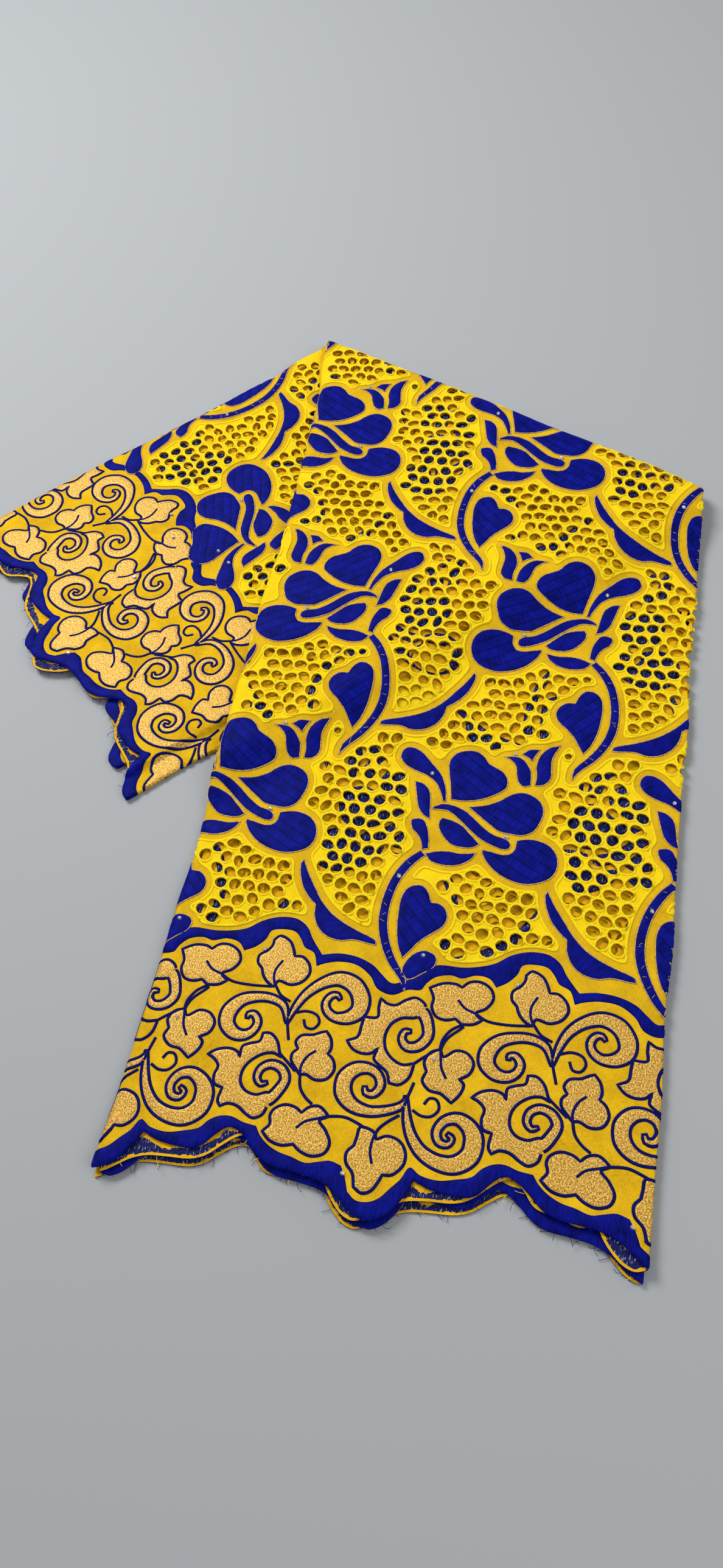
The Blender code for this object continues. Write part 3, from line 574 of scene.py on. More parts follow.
def net_edges():
    """The line round each piece of net that shows, as chains of points on the whole cloth."""
    rows, columns = NET_FIELD.shape
    first = -1
    wide = int(CLOTH_LENGTH[1] / FIELD_STEP) + 2 - first
    index = (np.arange(wide) + first) % columns
    field = NET_FIELD[:, index]
    grid_x, grid_y = np.meshgrid((np.arange(wide) + first) * FIELD_STEP, np.arange(rows) * FIELD_STEP)
    seen = shown(grid_x.ravel(), grid_y.ravel(), SHOWN_EDGE).reshape(field.shape)
    links = {}
    spots = {}
    mixed = (field[:-1, :-1] > 0) * 1 + (field[1:, :-1] > 0) + (field[:-1, 1:] > 0) + (field[1:, 1:] > 0)
    for j, i in np.argwhere((mixed > 0) & (mixed < 4) & seen[:-1, :-1]):
        for corners in (((j, i), (j, i + 1), (j + 1, i + 1)), ((j, i), (j + 1, i + 1), (j + 1, i))):
            cuts = []
            for a, b in zip(corners, corners[1:] + corners[:1]):
                if (field[a] > 0) != (field[b] > 0):
                    share = field[a] / (field[a] - field[b])
                    key = tuple(sorted((a, b)))
                    spots[key] = (grid_x[a] + share * (grid_x[b] - grid_x[a]),
                                  grid_y[a] + share * (grid_y[b] - grid_y[a]))
                    cuts.append(key)
            if len(cuts) == 2:
                links.setdefault(cuts[0], []).append(cuts[1])
                links.setdefault(cuts[1], []).append(cuts[0])
    chains, used = [], set()
    for start in sorted(links, key=lambda key: (len(links[key]), key)):
        if start in used:
            continue
        chain, here = [start], start
        used.add(start)
        while True:
            ahead = [key for key in links[here] if key not in used]
            if not ahead:
                break
            here = ahead[0]
            used.add(here)
            chain.append(here)
        closed = len(chain) > 5 and chain[0] in links[chain[-1]]
        chains.append((np.array([spots[key] for key in chain]), closed))
    return [(even_steps(line, closed, LINE_STEP), closed) for line, closed in chains if len(line) > 8]


def even_steps(line, closed, step):
    """Points at even steps along a line, rounded a little."""
    loop = np.concatenate([line, line[:1]]) if closed else line
    along = np.concatenate([[0], np.cumsum(np.linalg.norm(np.diff(loop, axis=0), axis=1))])
    count = max(4, round(along[-1] / step))
    places = np.linspace(0, along[-1], count, endpoint=not closed)
    even = np.stack([np.interp(places, along, loop[:, k]) for k in (0, 1)], axis=1)
    for turn in range(3):
        before, after = np.roll(even, 1, axis=0), np.roll(even, -1, axis=0)
        softer = (before + 2 * even + after) / 4
        if not closed:
            softer[[0, -1]] = even[[0, -1]]
        even = softer
    return even


def line_across_ridge(xs, past):
    """Where a line beside the ridge crosses each x of the cloth."""
    ys = np.linspace(0, CLOTH_WIDTH, 600)
    grid_x, grid_y = np.meshgrid(xs, ys)
    ahead = past_ridge(grid_x.ravel(), grid_y.ravel()).reshape(grid_x.shape)
    return np.array([np.interp(past[k], ahead[:, k], ys) for k in range(len(xs))])


def ground_points():
    """Loose points that let the sheet follow its folds, the ridge and its soft unevenness."""
    groups = []
    for x in FOLD_LINES:
        groups.append([(x, y) for y in np.arange(-0.003, CLOTH_WIDTH, FOLD_STEP)])
    for low, high in CURL_ENDS:
        for x in np.linspace(low, high, CURL_LINES):
            groups.append([(x, y) for y in np.arange(-0.002, CLOTH_WIDTH, CURL_STEP)])
    xs = np.arange(CLOTH_LENGTH[0] + LOOSE_START[1], CLOTH_LENGTH[1], LOOSE_STEP)
    turn = read(((CLOTH_1[0], RIDGE_RADIUS + TOP_Z), (CLOTH_1[1], RIDGE_RADIUS),
                 (CLOTH_2[0], RIDGE_RADIUS), (CLOTH_2[1], RIDGE_RADIUS - TOP_Z)), xs)
    for share in np.linspace(0, 1, RIDGE_LINES):
        groups.append(np.stack([xs, line_across_ridge(xs, turn * math.pi * share)], axis=1))
    grid_x, grid_y = np.meshgrid(np.arange(LOOSE_START[0], CLOTH_LENGTH[1], LOOSE_STEP),
                                 np.arange(LOOSE_START[1], CLOTH_WIDTH, LOOSE_STEP))
    grid_x = grid_x + LOOSE_STEP / 2 * (np.arange(len(grid_y)) % 2)[:, None]
    spots = np.stack([grid_x.ravel(), grid_y.ravel()], axis=1)
    spots = spots[net_depth(*spots.T) < LOOSE_IN]
    bold = shown(*spots.T, LOOSE_MARGIN)
    coarse = (np.arange(len(spots)) % 3 == 0)
    groups.append(spots[bold | coarse])
    return np.concatenate([np.asarray(group) for group in groups])


def make_ground_sheet():
    """Top and bottom of the cloth from one flat mesh, closed by walls round every edge."""
    holes = whole_cloth(*net_holes())
    bold = shown(*holes[0].T, HOLE_MARGIN)
    past, layer = past_and_layer(*holes[0].T)
    below = (layer == 1) & (past < 0.0) | (layer == 2) & (past > HIDDEN_PAST)
    rings = list(ellipses(*[part[bold] for part in holes], SHOWN_HOLE_SIDES))
    rings += list(ellipses(*[part[~bold & below] for part in holes], HIDDEN_HOLE_SIDES))
    edges = net_edges()
    outline = np.concatenate([edge_line(False), edge_line(True)[::-1]])
    fixed = [outline] + rings + [line for line, closed in edges]
    tree = KDTree(sum(len(line) for line in fixed))
    for number, spot in enumerate(spot for line in fixed for spot in line):
        tree.insert((*spot, 0), number)
    tree.balance()
    loose = [spot for spot in ground_points() if tree.find((*spot, 0))[2] > LOOSE_AWAY]
    spots, faces, lines = [], [], []
    for line in [outline] + rings:
        faces.append(list(range(len(spots), len(spots) + len(line))))
        spots += [Vector(spot) for spot in line]
    for line, closed in edges:
        numbers = list(range(len(spots), len(spots) + len(line)))
        lines += list(zip(numbers, numbers[1:] + (numbers[:1] if closed else [])))
        spots += [Vector(spot) for spot in line]
    spots += [Vector(spot) for spot in loose]
    flat, _, triangles, _, _, origin = delaunay_2d_cdt(spots, lines, faces, 0, 1e-6, True)
    flat = np.array([spot[:] for spot in flat])
    kept = np.array([triangle for triangle, source in zip(triangles, origin) if list(source) == [0]])
    return flat, kept, [part[bold] for part in holes], edges


def closed_sheet(flat, triangles, upper, lower):
    """Points and faces of a closed sheet over a flat triangulation, w by w."""
    used, triangles = np.unique(triangles, return_inverse=True)
    triangles = triangles.reshape(-1, 3)
    flat = flat[used]
    count = len(flat)
    sides = np.concatenate([triangles[:, [0, 1]], triangles[:, [1, 2]], triangles[:, [2, 0]]])
    codes = sides[:, 0] * count + sides[:, 1]
    alone = ~np.isin(codes, sides[:, 1] * count + sides[:, 0])
    rim = sides[alone]
    walls = np.stack([rim[:, 1], rim[:, 0], rim[:, 0] + count, rim[:, 1] + count], axis=1)
    points = np.concatenate([np.column_stack([flat, level[used] if np.ndim(level) else np.full(count, level)])
                             for level in (upper, lower)])
    owner = np.concatenate([np.arange(len(triangles))] * 3)[alone]
    return points, np.concatenate([triangles, triangles[:, ::-1] + count]), walls, owner


def make_piece(name, points, faces, finishes, finish_of_face=None, chart=None, sharp=None):
    """A mesh object from cloth points and heights, folded as the lace lies."""
    mesh = bpy.data.meshes.new(name)
    place = folded(points[:, 0], points[:, 1], points[:, 2])
    corners = [corner for face in faces for corner in face]
    mesh.from_pydata(place.tolist(), [], [list(face) for face in faces])
    for finish in finishes:
        mesh.materials.append(finish)
    if finish_of_face is not None:
        mesh.polygons.foreach_set("material_index", np.asarray(finish_of_face, dtype=np.int32))
    chart = points[:, :2] if chart is None else chart
    layer = mesh.uv_layers.new(name="cloth")
    layer.data.foreach_set("uv", chart[np.array(corners)].astype(np.float32).ravel())
    mesh.shade_smooth()
    if sharp:
        mesh.set_sharp_from_angle(angle=math.radians(sharp))
    mesh.update()
    piece = bpy.data.objects.new(name, mesh)
    bpy.context.scene.collection.objects.link(piece)
    return piece


flat, triangles, eyelets, edgings = make_ground_sheet()
padding = NET_PADDING * ease(net_depth(*flat.T) / PADDING_RUN) * shown(*flat.T)
points, tops, walls, owner = closed_sheet(flat, triangles, THICK / 2 + padding, -THICK / 2)
middle = flat[triangles].mean(1)
kind = np.where(net_depth(*middle.T) > 0, 1, 0)
near_wave = np.interp(middle[:, 0], WAVE_TOP[:, 0], WAVE_TOP[:, 1])
far_wave = np.interp(middle[:, 0], *far_side(WAVE_TOP).T)
kind[(middle[:, 1] < near_wave) | (middle[:, 1] > far_wave)] = 2
faces = tops.tolist() + walls.tolist()


class Signal:
    """One socket of a finish's nodes. Python's operators on it add Math nodes."""

    def __init__(self, socket):
        self.socket = socket

    def node(self, kind, settings, values, output=0):
        """Add a node: its type, its settings, then the values or links of its sockets."""
        tree = self.socket.id_data
        made = tree.nodes.new(kind)
        for name, setting in settings.items():
            if name == "stops":
                while len(made.color_ramp.elements) < len(setting):
                    made.color_ramp.elements.new(1.0)
                for element, (place, colour) in zip(made.color_ramp.elements, setting):
                    element.position, element.color = place, (*colour, 1.0)
            else:
                setattr(made, name, setting)
        for name, value in values.items():
            if isinstance(value, Signal):
                tree.links.new(value.socket, made.inputs[name])
            else:
                made.inputs[name].default_value = value
        return Signal(made.outputs[output])

    def maths(self, operation, first, second=0.0):
        return self.node("ShaderNodeMath", {"operation": operation}, {0: first, 1: second})

    def __add__(self, other):
        return self.maths("ADD", self, other)

    def __rsub__(self, other):
        return self.maths("SUBTRACT", other, self)

    def __mul__(self, other):
        return self.maths("MULTIPLY", self, other)

    __radd__, __rmul__ = __add__, __mul__

    def part(self, number):
        """One of the three numbers of a vector."""
        return self.node("ShaderNodeSeparateXYZ", {}, {0: self}, number)

    def wave(self, step, start=0.0):
        """A sine along this number, one wave to each step."""
        return self.maths("SINE", self * (2 * math.pi / step) + start)

    def spread(self, low, high):
        """This number from nought to one, spread between two values."""
        return self.node("ShaderNodeMapRange", {}, {"Value": self, "To Min": low, "To Max": high})

    def above(self, low, high):
        """Nought below one value and one above another, with a soft step between."""
        return self.node("ShaderNodeMapRange", {"interpolation_type": "SMOOTHSTEP"},
                         {"Value": self, "From Min": low, "From Max": high})

    def blend(self, share, other):
        """This colour where share is nought, and the other colour where it is one."""
        return self.node("ShaderNodeMix", {"data_type": "RGBA"}, {0: share, 6: self, 7: other}, 2)

    def noise(self, scale, detail=2.0, rough=0.5):
        return self.node("ShaderNodeTexNoise", {}, {"Vector": self, "Scale": scale, "Detail": detail,
                                                   "Roughness": rough})

    def stretched(self, turn, scale):
        """These coordinates turned and scaled, to lay a pattern along a thread."""
        return self.node("ShaderNodeMapping", {}, {"Vector": self, "Rotation": (0, 0, turn), "Scale": scale})

    def colours(self, *stops):
        return self.node("ShaderNodeValToRGB", {"stops": stops}, {"Fac": self})

    def relief(self, height, distance):
        """The normal of a surface with this height, given as a share of a distance in metres."""
        return self.node("ShaderNodeBump", {}, {"Height": height, "Distance": distance, "Strength": 1.0})


def begin_finish(name, roughness, metallic=0.0, gloss=0.5):
    """A new material, its shader's inputs and its coordinates on the flat cloth."""
    finish = bpy.data.materials.new(name)
    finish.use_nodes = True
    tree = finish.node_tree
    shader = tree.nodes["Principled BSDF"]
    shader.inputs["Roughness"].default_value = roughness
    shader.inputs["Metallic"].default_value = metallic
    shader.inputs["Specular IOR Level"].default_value = gloss
    cloth = Signal(tree.nodes.new("ShaderNodeUVMap").outputs[0])
    return finish, shader, cloth


def set_finish(shader, **links):
    """Link the inputs of the shader that vary over the surface."""
    for name, signal in links.items():
        shader.id_data.links.new(signal.socket, shader.inputs[name.replace("_", " ")])


def sheer_voile(name, dark, light, thread=0.0009):
    """Plain weave: warp and weft threads, slubs, and patches where the dye took deeper."""
    finish, shader, cloth = begin_finish(name, 0.85, gloss=0.12)
    slub = cloth.stretched(0.0, (260.0, 2600.0, 1.0)).noise(1.0, 2.0)
    cross = cloth.stretched(0.0, (2600.0, 260.0, 1.0)).noise(1.0, 2.0)
    patches = cloth.noise(38.0, 4.0, 0.6)
    shade = slub * 0.3 + cross * 0.3 + patches * 0.4
    colour = shade.colours((0.32, dark), (0.62, light))
    weave = cloth.part(0).wave(thread) * cloth.part(1).wave(thread) * 0.5 + slub * 0.5 + cross * 0.5
    set_finish(shader, Base_Color=colour, Normal=colour.relief(weave, 0.0001))
    return finish


def overcast_thread(name, dark, light, painted_inner_shade=None, step=0.0009):
    """Bright cotton wound round a bar or an eyelet. The chart's x runs along it, y across it. A colour given
    for the inner side is painted shade on the rim's inner edge, where it falls into the hole.
    """
    finish, shader, cloth = begin_finish(name, 0.62, gloss=0.15)
    wound = cloth.stretched(0.0, (1 / step, 60.0, 1.0)).noise(1.0, 2.0, 0.6)
    turns = cloth.part(0).wave(step)
    loose = cloth.noise(420.0, 2.0)
    colour = (wound * 0.6 + turns * 0.04 + loose * 0.3).colours((0.26, dark), (0.56, light))
    if painted_inner_shade:
        # Painted shade: dark brown on the inner side of the rim, where it drops into the eyelet.
        colour = colour.blend(1 - cloth.part(1).above(-0.0003, 0.0004), (*painted_inner_shade, 1.0))
    set_finish(shader, Base_Color=colour, Normal=colour.relief(turns * 0.3 + wound * 1.3, 0.00014))
    return finish


voile = sheer_voile("golden_voile", (0.48, 0.262, 0.004), (0.87, 0.545, 0.009))
net_ground = sheer_voile("net_cotton", (0.74, 0.46, 0.003), (1.0, 0.74, 0.007))
border_voile = sheer_voile("border_voile", (0.46, 0.23, 0.003), (0.93, 0.57, 0.009))
# Painted light: the reverse gets a warmer orange than the face, for light bounced between the yellow layers
# where they lie in shade.
back_voile_painted_bounce = sheer_voile("voile_reverse_painted_bounce", (0.62, 0.30, 0.003), (0.95, 0.55, 0.006))
BRIGHT_YELLOW = ((0.82, 0.52, 0.002), (1.0, 0.80, 0.008))
net_thread = overcast_thread("net_overcast_thread", *BRIGHT_YELLOW)
# The eyelets' thread has painted shade, dark brown, on the inner side of each rim.
eyelet_thread_painted_shade = overcast_thread("eyelet_thread_painted_shade", *BRIGHT_YELLOW, (0.26, 0.11, 0.002))

ground = make_piece("cotton_ground", points, faces, [voile, net_ground, border_voile, back_voile_painted_bounce],
                    np.concatenate([kind, np.full(len(kind), 3), np.zeros(len(owner))]), sharp=40)
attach(ground, "root")
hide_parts("lace_cloth")


# Overcasting. Each eyelet is bound with bright yellow cotton, and a thicker cord of the same
# stitch runs along every edge of the net. The threads are wound over the cut edge of the voile.
RIM_SIDES = 11
RIM_PROFILE = ((-0.0001, -0.0006), (-0.0003, 0.0004), (0.0001, 0.0011), (0.0009, 0.0015),
               (0.0016, 0.0012), (0.0019, 0.0002))      # outward from the eyelet's edge, and up
EDGING_WIDTH, EDGING_HEIGHT = 0.0024, 0.0011
TURNED_FROM = 0.6                # shown eyelets further along the cloth lie on the turned panel
CORD_SINK = 0.0003               # the feet of a cord lie this far in the cloth


def half_round(lines, width, height, sides=4, outward=0.0, base=0.0, profile=None):
    """Points, faces and chart of half-round cords sewn along lines on the cloth."""
    angle = np.linspace(0, math.pi, sides)
    profile_a = -np.cos(angle) * width / 2 + outward
    profile_w = THICK / 2 + base + np.sin(angle) * height - np.where(np.sin(angle) < 0.01, CORD_SINK, 0)
    if profile:
        profile_a, profile_w = np.array(profile).T
        profile_w, sides = profile_w + THICK / 2, len(profile)
    points, faces, chart, start = [], [], [], 0
    for line, closed in lines:
        line = np.asarray(line)
        count = len(line)
        spot = line[:, None] + right_of(line, closed)[:, None] * profile_a[None, :, None]
        points.append(np.concatenate([spot, np.broadcast_to(profile_w[None, :, None], (count, sides, 1))],
                                     axis=2).reshape(-1, 3))
        along = np.concatenate([[0], np.cumsum(np.linalg.norm(np.diff(line, axis=0), axis=1))])
        chart.append(np.stack(np.broadcast_arrays(along[:, None], profile_a), axis=2).reshape(-1, 2))
        here = np.arange(count if closed else count - 1)
        ahead = (here + 1) % count
        for k in range(sides):
            n = (k + 1) % sides
            faces.append(np.stack([here * sides + k, ahead * sides + k, ahead * sides + n, here * sides + n],
                                  axis=1) + start)
        if not closed:
            ends = [list(range(start, start + sides)),
                    list(range(start + count * sides - 1, start + (count - 1) * sides - 1, -1))]
            faces.append(ends)
        start += count * sides
    flat_faces = [face for group in faces for face in (group.tolist() if hasattr(group, "tolist") else group)]
    return np.concatenate(points), flat_faces, np.concatenate(chart)


def sew_on(piece):
    """Each sewn piece rides with the cloth and stands for the same solid."""
    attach(piece, "root")
    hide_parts("lace_cloth")


def couch(name, lines, finish, slot, *shape, **more):
    """One piece of half-round cords along many lines."""
    points, faces, chart = half_round(lines, *shape, **more)
    sew_on(make_piece(name, points, faces, [finish], chart=chart))


rim_lines = [(ring, True) for ring in ellipses(*eyelets, RIM_SIDES)]
far_along = eyelets[0][:, 0] > TURNED_FROM
for name, part in (("eyelet_rims_upper", ~far_along), ("eyelet_rims_turned", far_along)):
    chosen = [line for line, wanted in zip(rim_lines, part) if wanted]
    couch(name, chosen, eyelet_thread_painted_shade, "yellow_cotton", 0, 0, profile=RIM_PROFILE)
couch("net_edging", edgings, net_thread, "yellow_cotton", EDGING_WIDTH, EDGING_HEIGHT, 5)


# Satin stitch. Royal blue rayon thread is laid side by side over each petal, leaf and stem, in
# slanted bands, and goes right through the voile, so that it shows on the reverse too.
SATIN_HEIGHT, SATIN_ROUND, SATIN_UNDER, HIDDEN_HEIGHT = 0.0009, 0.0024, 0.0002, 0.0005
BAND_PITCH, BAND_GROOVE = 0.0080, 0.5
BAND_ROWS = (0.0, 0.16, 0.5, 0.84)         # rows of points across one slanted band, as shares of it
GROOVE_HALF = 0.0009                       # half width of the groove between two bands
ROW_IN, ROW_LEAST = 0.0008, 0.0006         # the first row of points inside an outline
FREE_IN, COARSE_IN = 0.0018, 0.0010        # loose points keep this far inside
CROSSING_STEP, PAD_SINK, CUT_IN = 0.003, 0.0001, 0.0002
BAND_TURNS = {"heart_petal": -0.6, "drop_petal": -0.5, "kidney_petal": -0.5, "heart_leaf": -0.75}
PLAIN_TURN = -0.9                          # the slant of the stitches where there are no bands
DEEP_BLUE = (0.001, 0.002, 0.040)


def across_arcs(line, closed=True):
    """Put points where a line crosses the lines of a fold."""
    lines = [x for x in FOLD_LINES if line[:, 0].min() < x < line[:, 0].max()]
    if not lines:
        return line, []
    out = []
    for here, ahead in zip(line, np.roll(line, -1, axis=0) if closed else line[1:]):
        out.append(here)
        between = [x for x in lines if min(here[0], ahead[0]) < x < max(here[0], ahead[0])]
        for x in sorted(between, reverse=bool(ahead[0] < here[0])):
            out.append(here + (ahead - here) * (x - here[0]) / (ahead[0] - here[0]))
    return np.array(out if closed else out + [line[-1]]), lines


def clipped(ring):
    """What is left of an outline between the two cut ends."""
    for end, keep in ((CLOTH_LENGTH[0] + CUT_IN, 1), (CLOTH_LENGTH[1] - CUT_IN, -1)):
        inside = (ring[:, 0] - end) * keep > 0
        if inside.all():
            continue
        if not inside.any():
            return None
        out = []
        for i in range(len(ring)):
            j = (i + 1) % len(ring)
            if inside[i]:
                out.append(ring[i])
            if inside[i] != inside[j]:
                out.append(ring[i] + (ring[j] - ring[i]) * (end - ring[i][0]) / (ring[j][0] - ring[i][0]))
        ring = np.array(out)
    return ring if len(ring) > 4 else None


class Stitches:
    """Sewn shapes gathered into one piece."""

    def __init__(self):
        self.points, self.faces, self.chart, self.finish, self.count = [], [], [], [], 0

    def add(self, points, faces, chart, finish):
        self.points.append(points)
        self.chart.append(chart)
        self.faces += [[corner + self.count for corner in face] for face in faces]
        self.finish += finish
        self.count += len(points)

    def piece(self, name, finishes, slot):
        sew_on(make_piece(name, np.concatenate(self.points), self.faces, finishes, self.finish,
                          chart=np.concatenate(self.chart)))


def satin_pad(stitches, ring, height=SATIN_HEIGHT, turn=0.0, spacing=0.0035, bands=True, fine=True,
              round_edge=SATIN_ROUND, bare=0.0):
    """A closed, rounded pad of stitches through the cloth, over one outline."""
    ring = clipped(ring)
    if ring is None:
        return
    ring, lines = across_arcs(ring)
    area = np.sum(ring[:, 0] * np.roll(ring[:, 1], -1) - ring[:, 1] * np.roll(ring[:, 0], -1)) / 2
    if area < 0:
        ring = ring[::-1]
    centre = (ring.min(0) + ring.max(0)) / 2
    along, over = np.array([math.cos(turn), math.sin(turn)]), np.array([-math.sin(turn), math.cos(turn)])
    loose = np.zeros((0, 2))
    if fine:
        reach = np.linalg.norm(ring.max(0) - ring.min(0)) / 2 + BAND_PITCH
        count = math.ceil(reach / BAND_PITCH)
        rows = (np.arange(-count, count)[:, None] + BAND_ROWS).ravel() * BAND_PITCH
        steps = np.arange(-reach, reach, spacing)
        shift = spacing / 2 * (np.arange(len(rows)) % 2)
        loose = (centre + rows[:, None, None] * over + (steps[None] + shift[:, None])[..., None] * along)
        loose = loose.reshape(-1, 2)
        loose = loose[(loose > ring.min(0)).all(1) & (loose < ring.max(0)).all(1)]
        insets = (ROW_IN, ROW_IN + bare) if bare else (ROW_IN,)
        near = np.concatenate([ring - right_of(ring, True) * inset for inset in insets])
        near = near[signed_gap(near, ring) < -ROW_LEAST]
    for x in lines:
        ys = np.arange(ring[:, 1].min(), ring[:, 1].max(), CROSSING_STEP)
        loose = np.concatenate([loose, np.column_stack([np.full(len(ys), x), ys])])
    if len(loose):
        loose = loose[signed_gap(loose, ring) < -(FREE_IN if fine else COARSE_IN)]
    spots = np.concatenate([ring] + ([near] if fine else []) + ([loose] if len(loose) else []))
    spots, loop = [Vector(spot) for spot in spots], list(range(len(ring)))
    flat, _, faces, _, _, origin = delaunay_2d_cdt(spots, [], [loop], 0, 1e-6, True)
    flat = np.array([spot[:] for spot in flat])
    faces = np.array([face for face, source in zip(faces, origin) if len(source)])
    depth = np.maximum(0, -signed_gap(flat, ring))
    rounded = np.sqrt(1 - (1 - np.minimum(depth / round_edge, 1)) ** 2)
    if bands:
        share = ((flat - centre) @ over / BAND_PITCH) % 1
        share = np.minimum(share, 1 - share) * BAND_PITCH
        rounded = rounded * (1 - BAND_GROOVE * np.exp(-(share / GROOVE_HALF) ** 2))
    upper = THICK / 2 + height * rounded - PAD_SINK
    lower = -THICK / 2 + np.where(depth < bare, SATIN_UNDER, -SATIN_UNDER)
    points, tops, walls, _ = closed_sheet(flat, faces, upper, lower)
    chart = np.stack([(points[:, :2] - centre) @ along, (points[:, :2] - centre) @ over], axis=1)
    front, reverse = 2 if bands else 0, 1
    finish = [front] * len(faces) + [reverse] * len(faces) + [front] * len(walls)
    stitches.add(points, tops.tolist() + walls.tolist(), chart, finish)


def satin(name, deep, bright, thread=0.0005, banded=False):
    """Rayon threads side by side. The chart's y runs along the threads of a pad. When banded, painted shade
    darkens the grooves between the bands.
    """
    finish, shader, cloth = begin_finish(name, 0.55, gloss=0.03)
    strands = cloth.stretched(0.0, (1 / thread, 90.0, 1.0)).noise(1.0, 2.0, 0.6)
    broad = cloth.noise(90.0, 2.0)
    colour = (strands * 0.65 + broad * 0.35).colours((0.34, deep), (0.63, bright))
    if banded:
        # Painted shade: deep blue laid into the grooves between the slanted bands.
        groove = cloth.part(1).wave(BAND_PITCH, math.pi / 2).above(0.80, 1.0)
        colour = colour.blend(groove * 0.6, (*DEEP_BLUE, 1.0))
    set_finish(shader, Base_Color=colour, Roughness=strands.spread(0.42, 0.62),
               Normal=colour.relief(strands, 0.00012))
    return finish


def bobbin_side(name):
    """The reverse of satin stitch: darker, and flecked with the pale bobbin thread."""
    finish, shader, cloth = begin_finish(name, 0.7, gloss=0.1)
    flecks = cloth.stretched(0.3, (950.0, 230.0, 1.0)).noise(1.0, 1.0).above(0.59, 0.65)
    strands = cloth.stretched(0.0, (1600.0, 90.0, 1.0)).noise(1.0, 2.0)
    blue = strands.colours((0.3, (0.005, 0.007, 0.045)), (0.7, (0.012, 0.016, 0.16)))
    set_finish(shader, Base_Color=blue.blend(flecks * 0.6, (0.42, 0.42, 0.36, 1.0)),
               Normal=blue.relief(flecks + strands * 0.4, 0.0002))
    return finish


blue_satin = satin("royal_blue_satin", DEEP_BLUE, (0.005, 0.009, 0.29))
banded_satin = satin("banded_blue_satin", DEEP_BLUE, (0.005, 0.010, 0.31), banded=True)
blue_reverse = bobbin_side("blue_satin_reverse")
shown_flowers, hidden_flowers = Stitches(), Stitches()
cord_lines = []
for row, column in FLOWERS:
    hand = flower_place(row, column)[1][0]
    for name, ring in flower_rings(row, column).items():
        ring = clipped(ring)
        if ring is None:
            continue
        if outline_shown(ring):
            satin_pad(shown_flowers, ring, turn=hand * BAND_TURNS.get(name, PLAIN_TURN),
                      bands=name in BAND_TURNS)
            cord_lines.append((ring, True))
        else:
            satin_pad(hidden_flowers, ring[::2], HIDDEN_HEIGHT, fine=False, bands=False)
shown_flowers.piece("satin_flowers_shown", [blue_satin, blue_reverse, banded_satin], "blue_satin_stitch")
hidden_flowers.piece("satin_flowers_inside", [blue_satin, blue_reverse], "blue_satin_stitch")


# The border. Its leaves, maple leaves and scrolls are filled with gold metallic thread and bound
# with blue satin stitch, and one blue line joins them. All of it lies on the plain voile.
GOLD_HEIGHT, GOLD_ROUND, GOLD_SPACING = 0.00045, 0.0012, 0.005
SHAPE_STEP = 0.00004                       # two shapes of a group lie this far one above the other
BORDER_STEP = 2.2 * MM
COVERED = 0.0004                           # an outline this near another shape is covered by it
BIND_WIDTH, BIND_HEIGHT, VINE_WIDTH = 0.0026, 0.0008, 0.0024
BORDER_LEAVES = {
    "leaf_a": ((26, 167.5, 1), (35, 172), (44, 172.5), (48.5, 170.5, 1), (54, 175), (62, 175.5), (70, 171),
               (72.5, 164), (68, 157), (61, 153), (66, 148, 1), (60, 144.5), (52, 143.5, 1), (47, 147, 1),
               (40, 145), (33, 146.5), (29, 153), (29.5, 160)),
    "leaf_b": ((94, 184, 1), (98, 187.5), (106, 184), (110, 178), (112, 172.5, 1), (118, 172.5), (124, 167),
               (125.5, 160), (121, 153), (113, 150), (104, 152), (101, 147, 1), (96, 150), (92, 155),
               (90, 160.5, 1), (86, 165), (86, 171), (91, 175), (94, 180)),
    "leaf_c": ((147, 118.5, 1), (151, 113), (152, 106), (150.5, 102, 1), (155, 98), (157, 91), (153, 84),
               (145, 82.5), (138, 85.5), (133.5, 85, 1), (130, 89), (126, 94), (125.5, 99), (129, 103, 1),
               (126.5, 108), (130, 113), (138, 114.5), (143, 117)),
    "leaf_d": ((121.5, 60), (128, 63.5), (136, 62.5), (141, 59.5, 1), (146, 64), (153, 65), (161, 59.5, 1),
               (155, 56), (161, 50), (165.5, 42), (163, 35), (155, 32), (147, 34), (141, 38, 1), (133, 36),
               (124, 38), (117, 43.5, 1), (121, 49), (119.5, 55)),
    "leaf_e": ((184, 55.5), (183, 49), (182, 43, 1), (178, 38), (179, 31), (184.5, 25), (187, 16.5, 1),
               (193, 13.5), (199, 16), (203, 23), (204.5, 27, 1), (211, 28), (217, 35), (217, 43), (212, 50),
               (203, 52.5), (196, 49, 1), (193, 54)),
    "leaf_f": ((229, 117, 1), (222.5, 114), (219, 107), (221.5, 100.5, 1), (219.5, 94), (225, 88),
               (233, 86.5), (241, 81, 1), (246, 87), (248, 94), (244.5, 97.5, 1), (251, 102), (253, 110),
               (248, 116.5), (240, 117.5), (232, 112)),
}
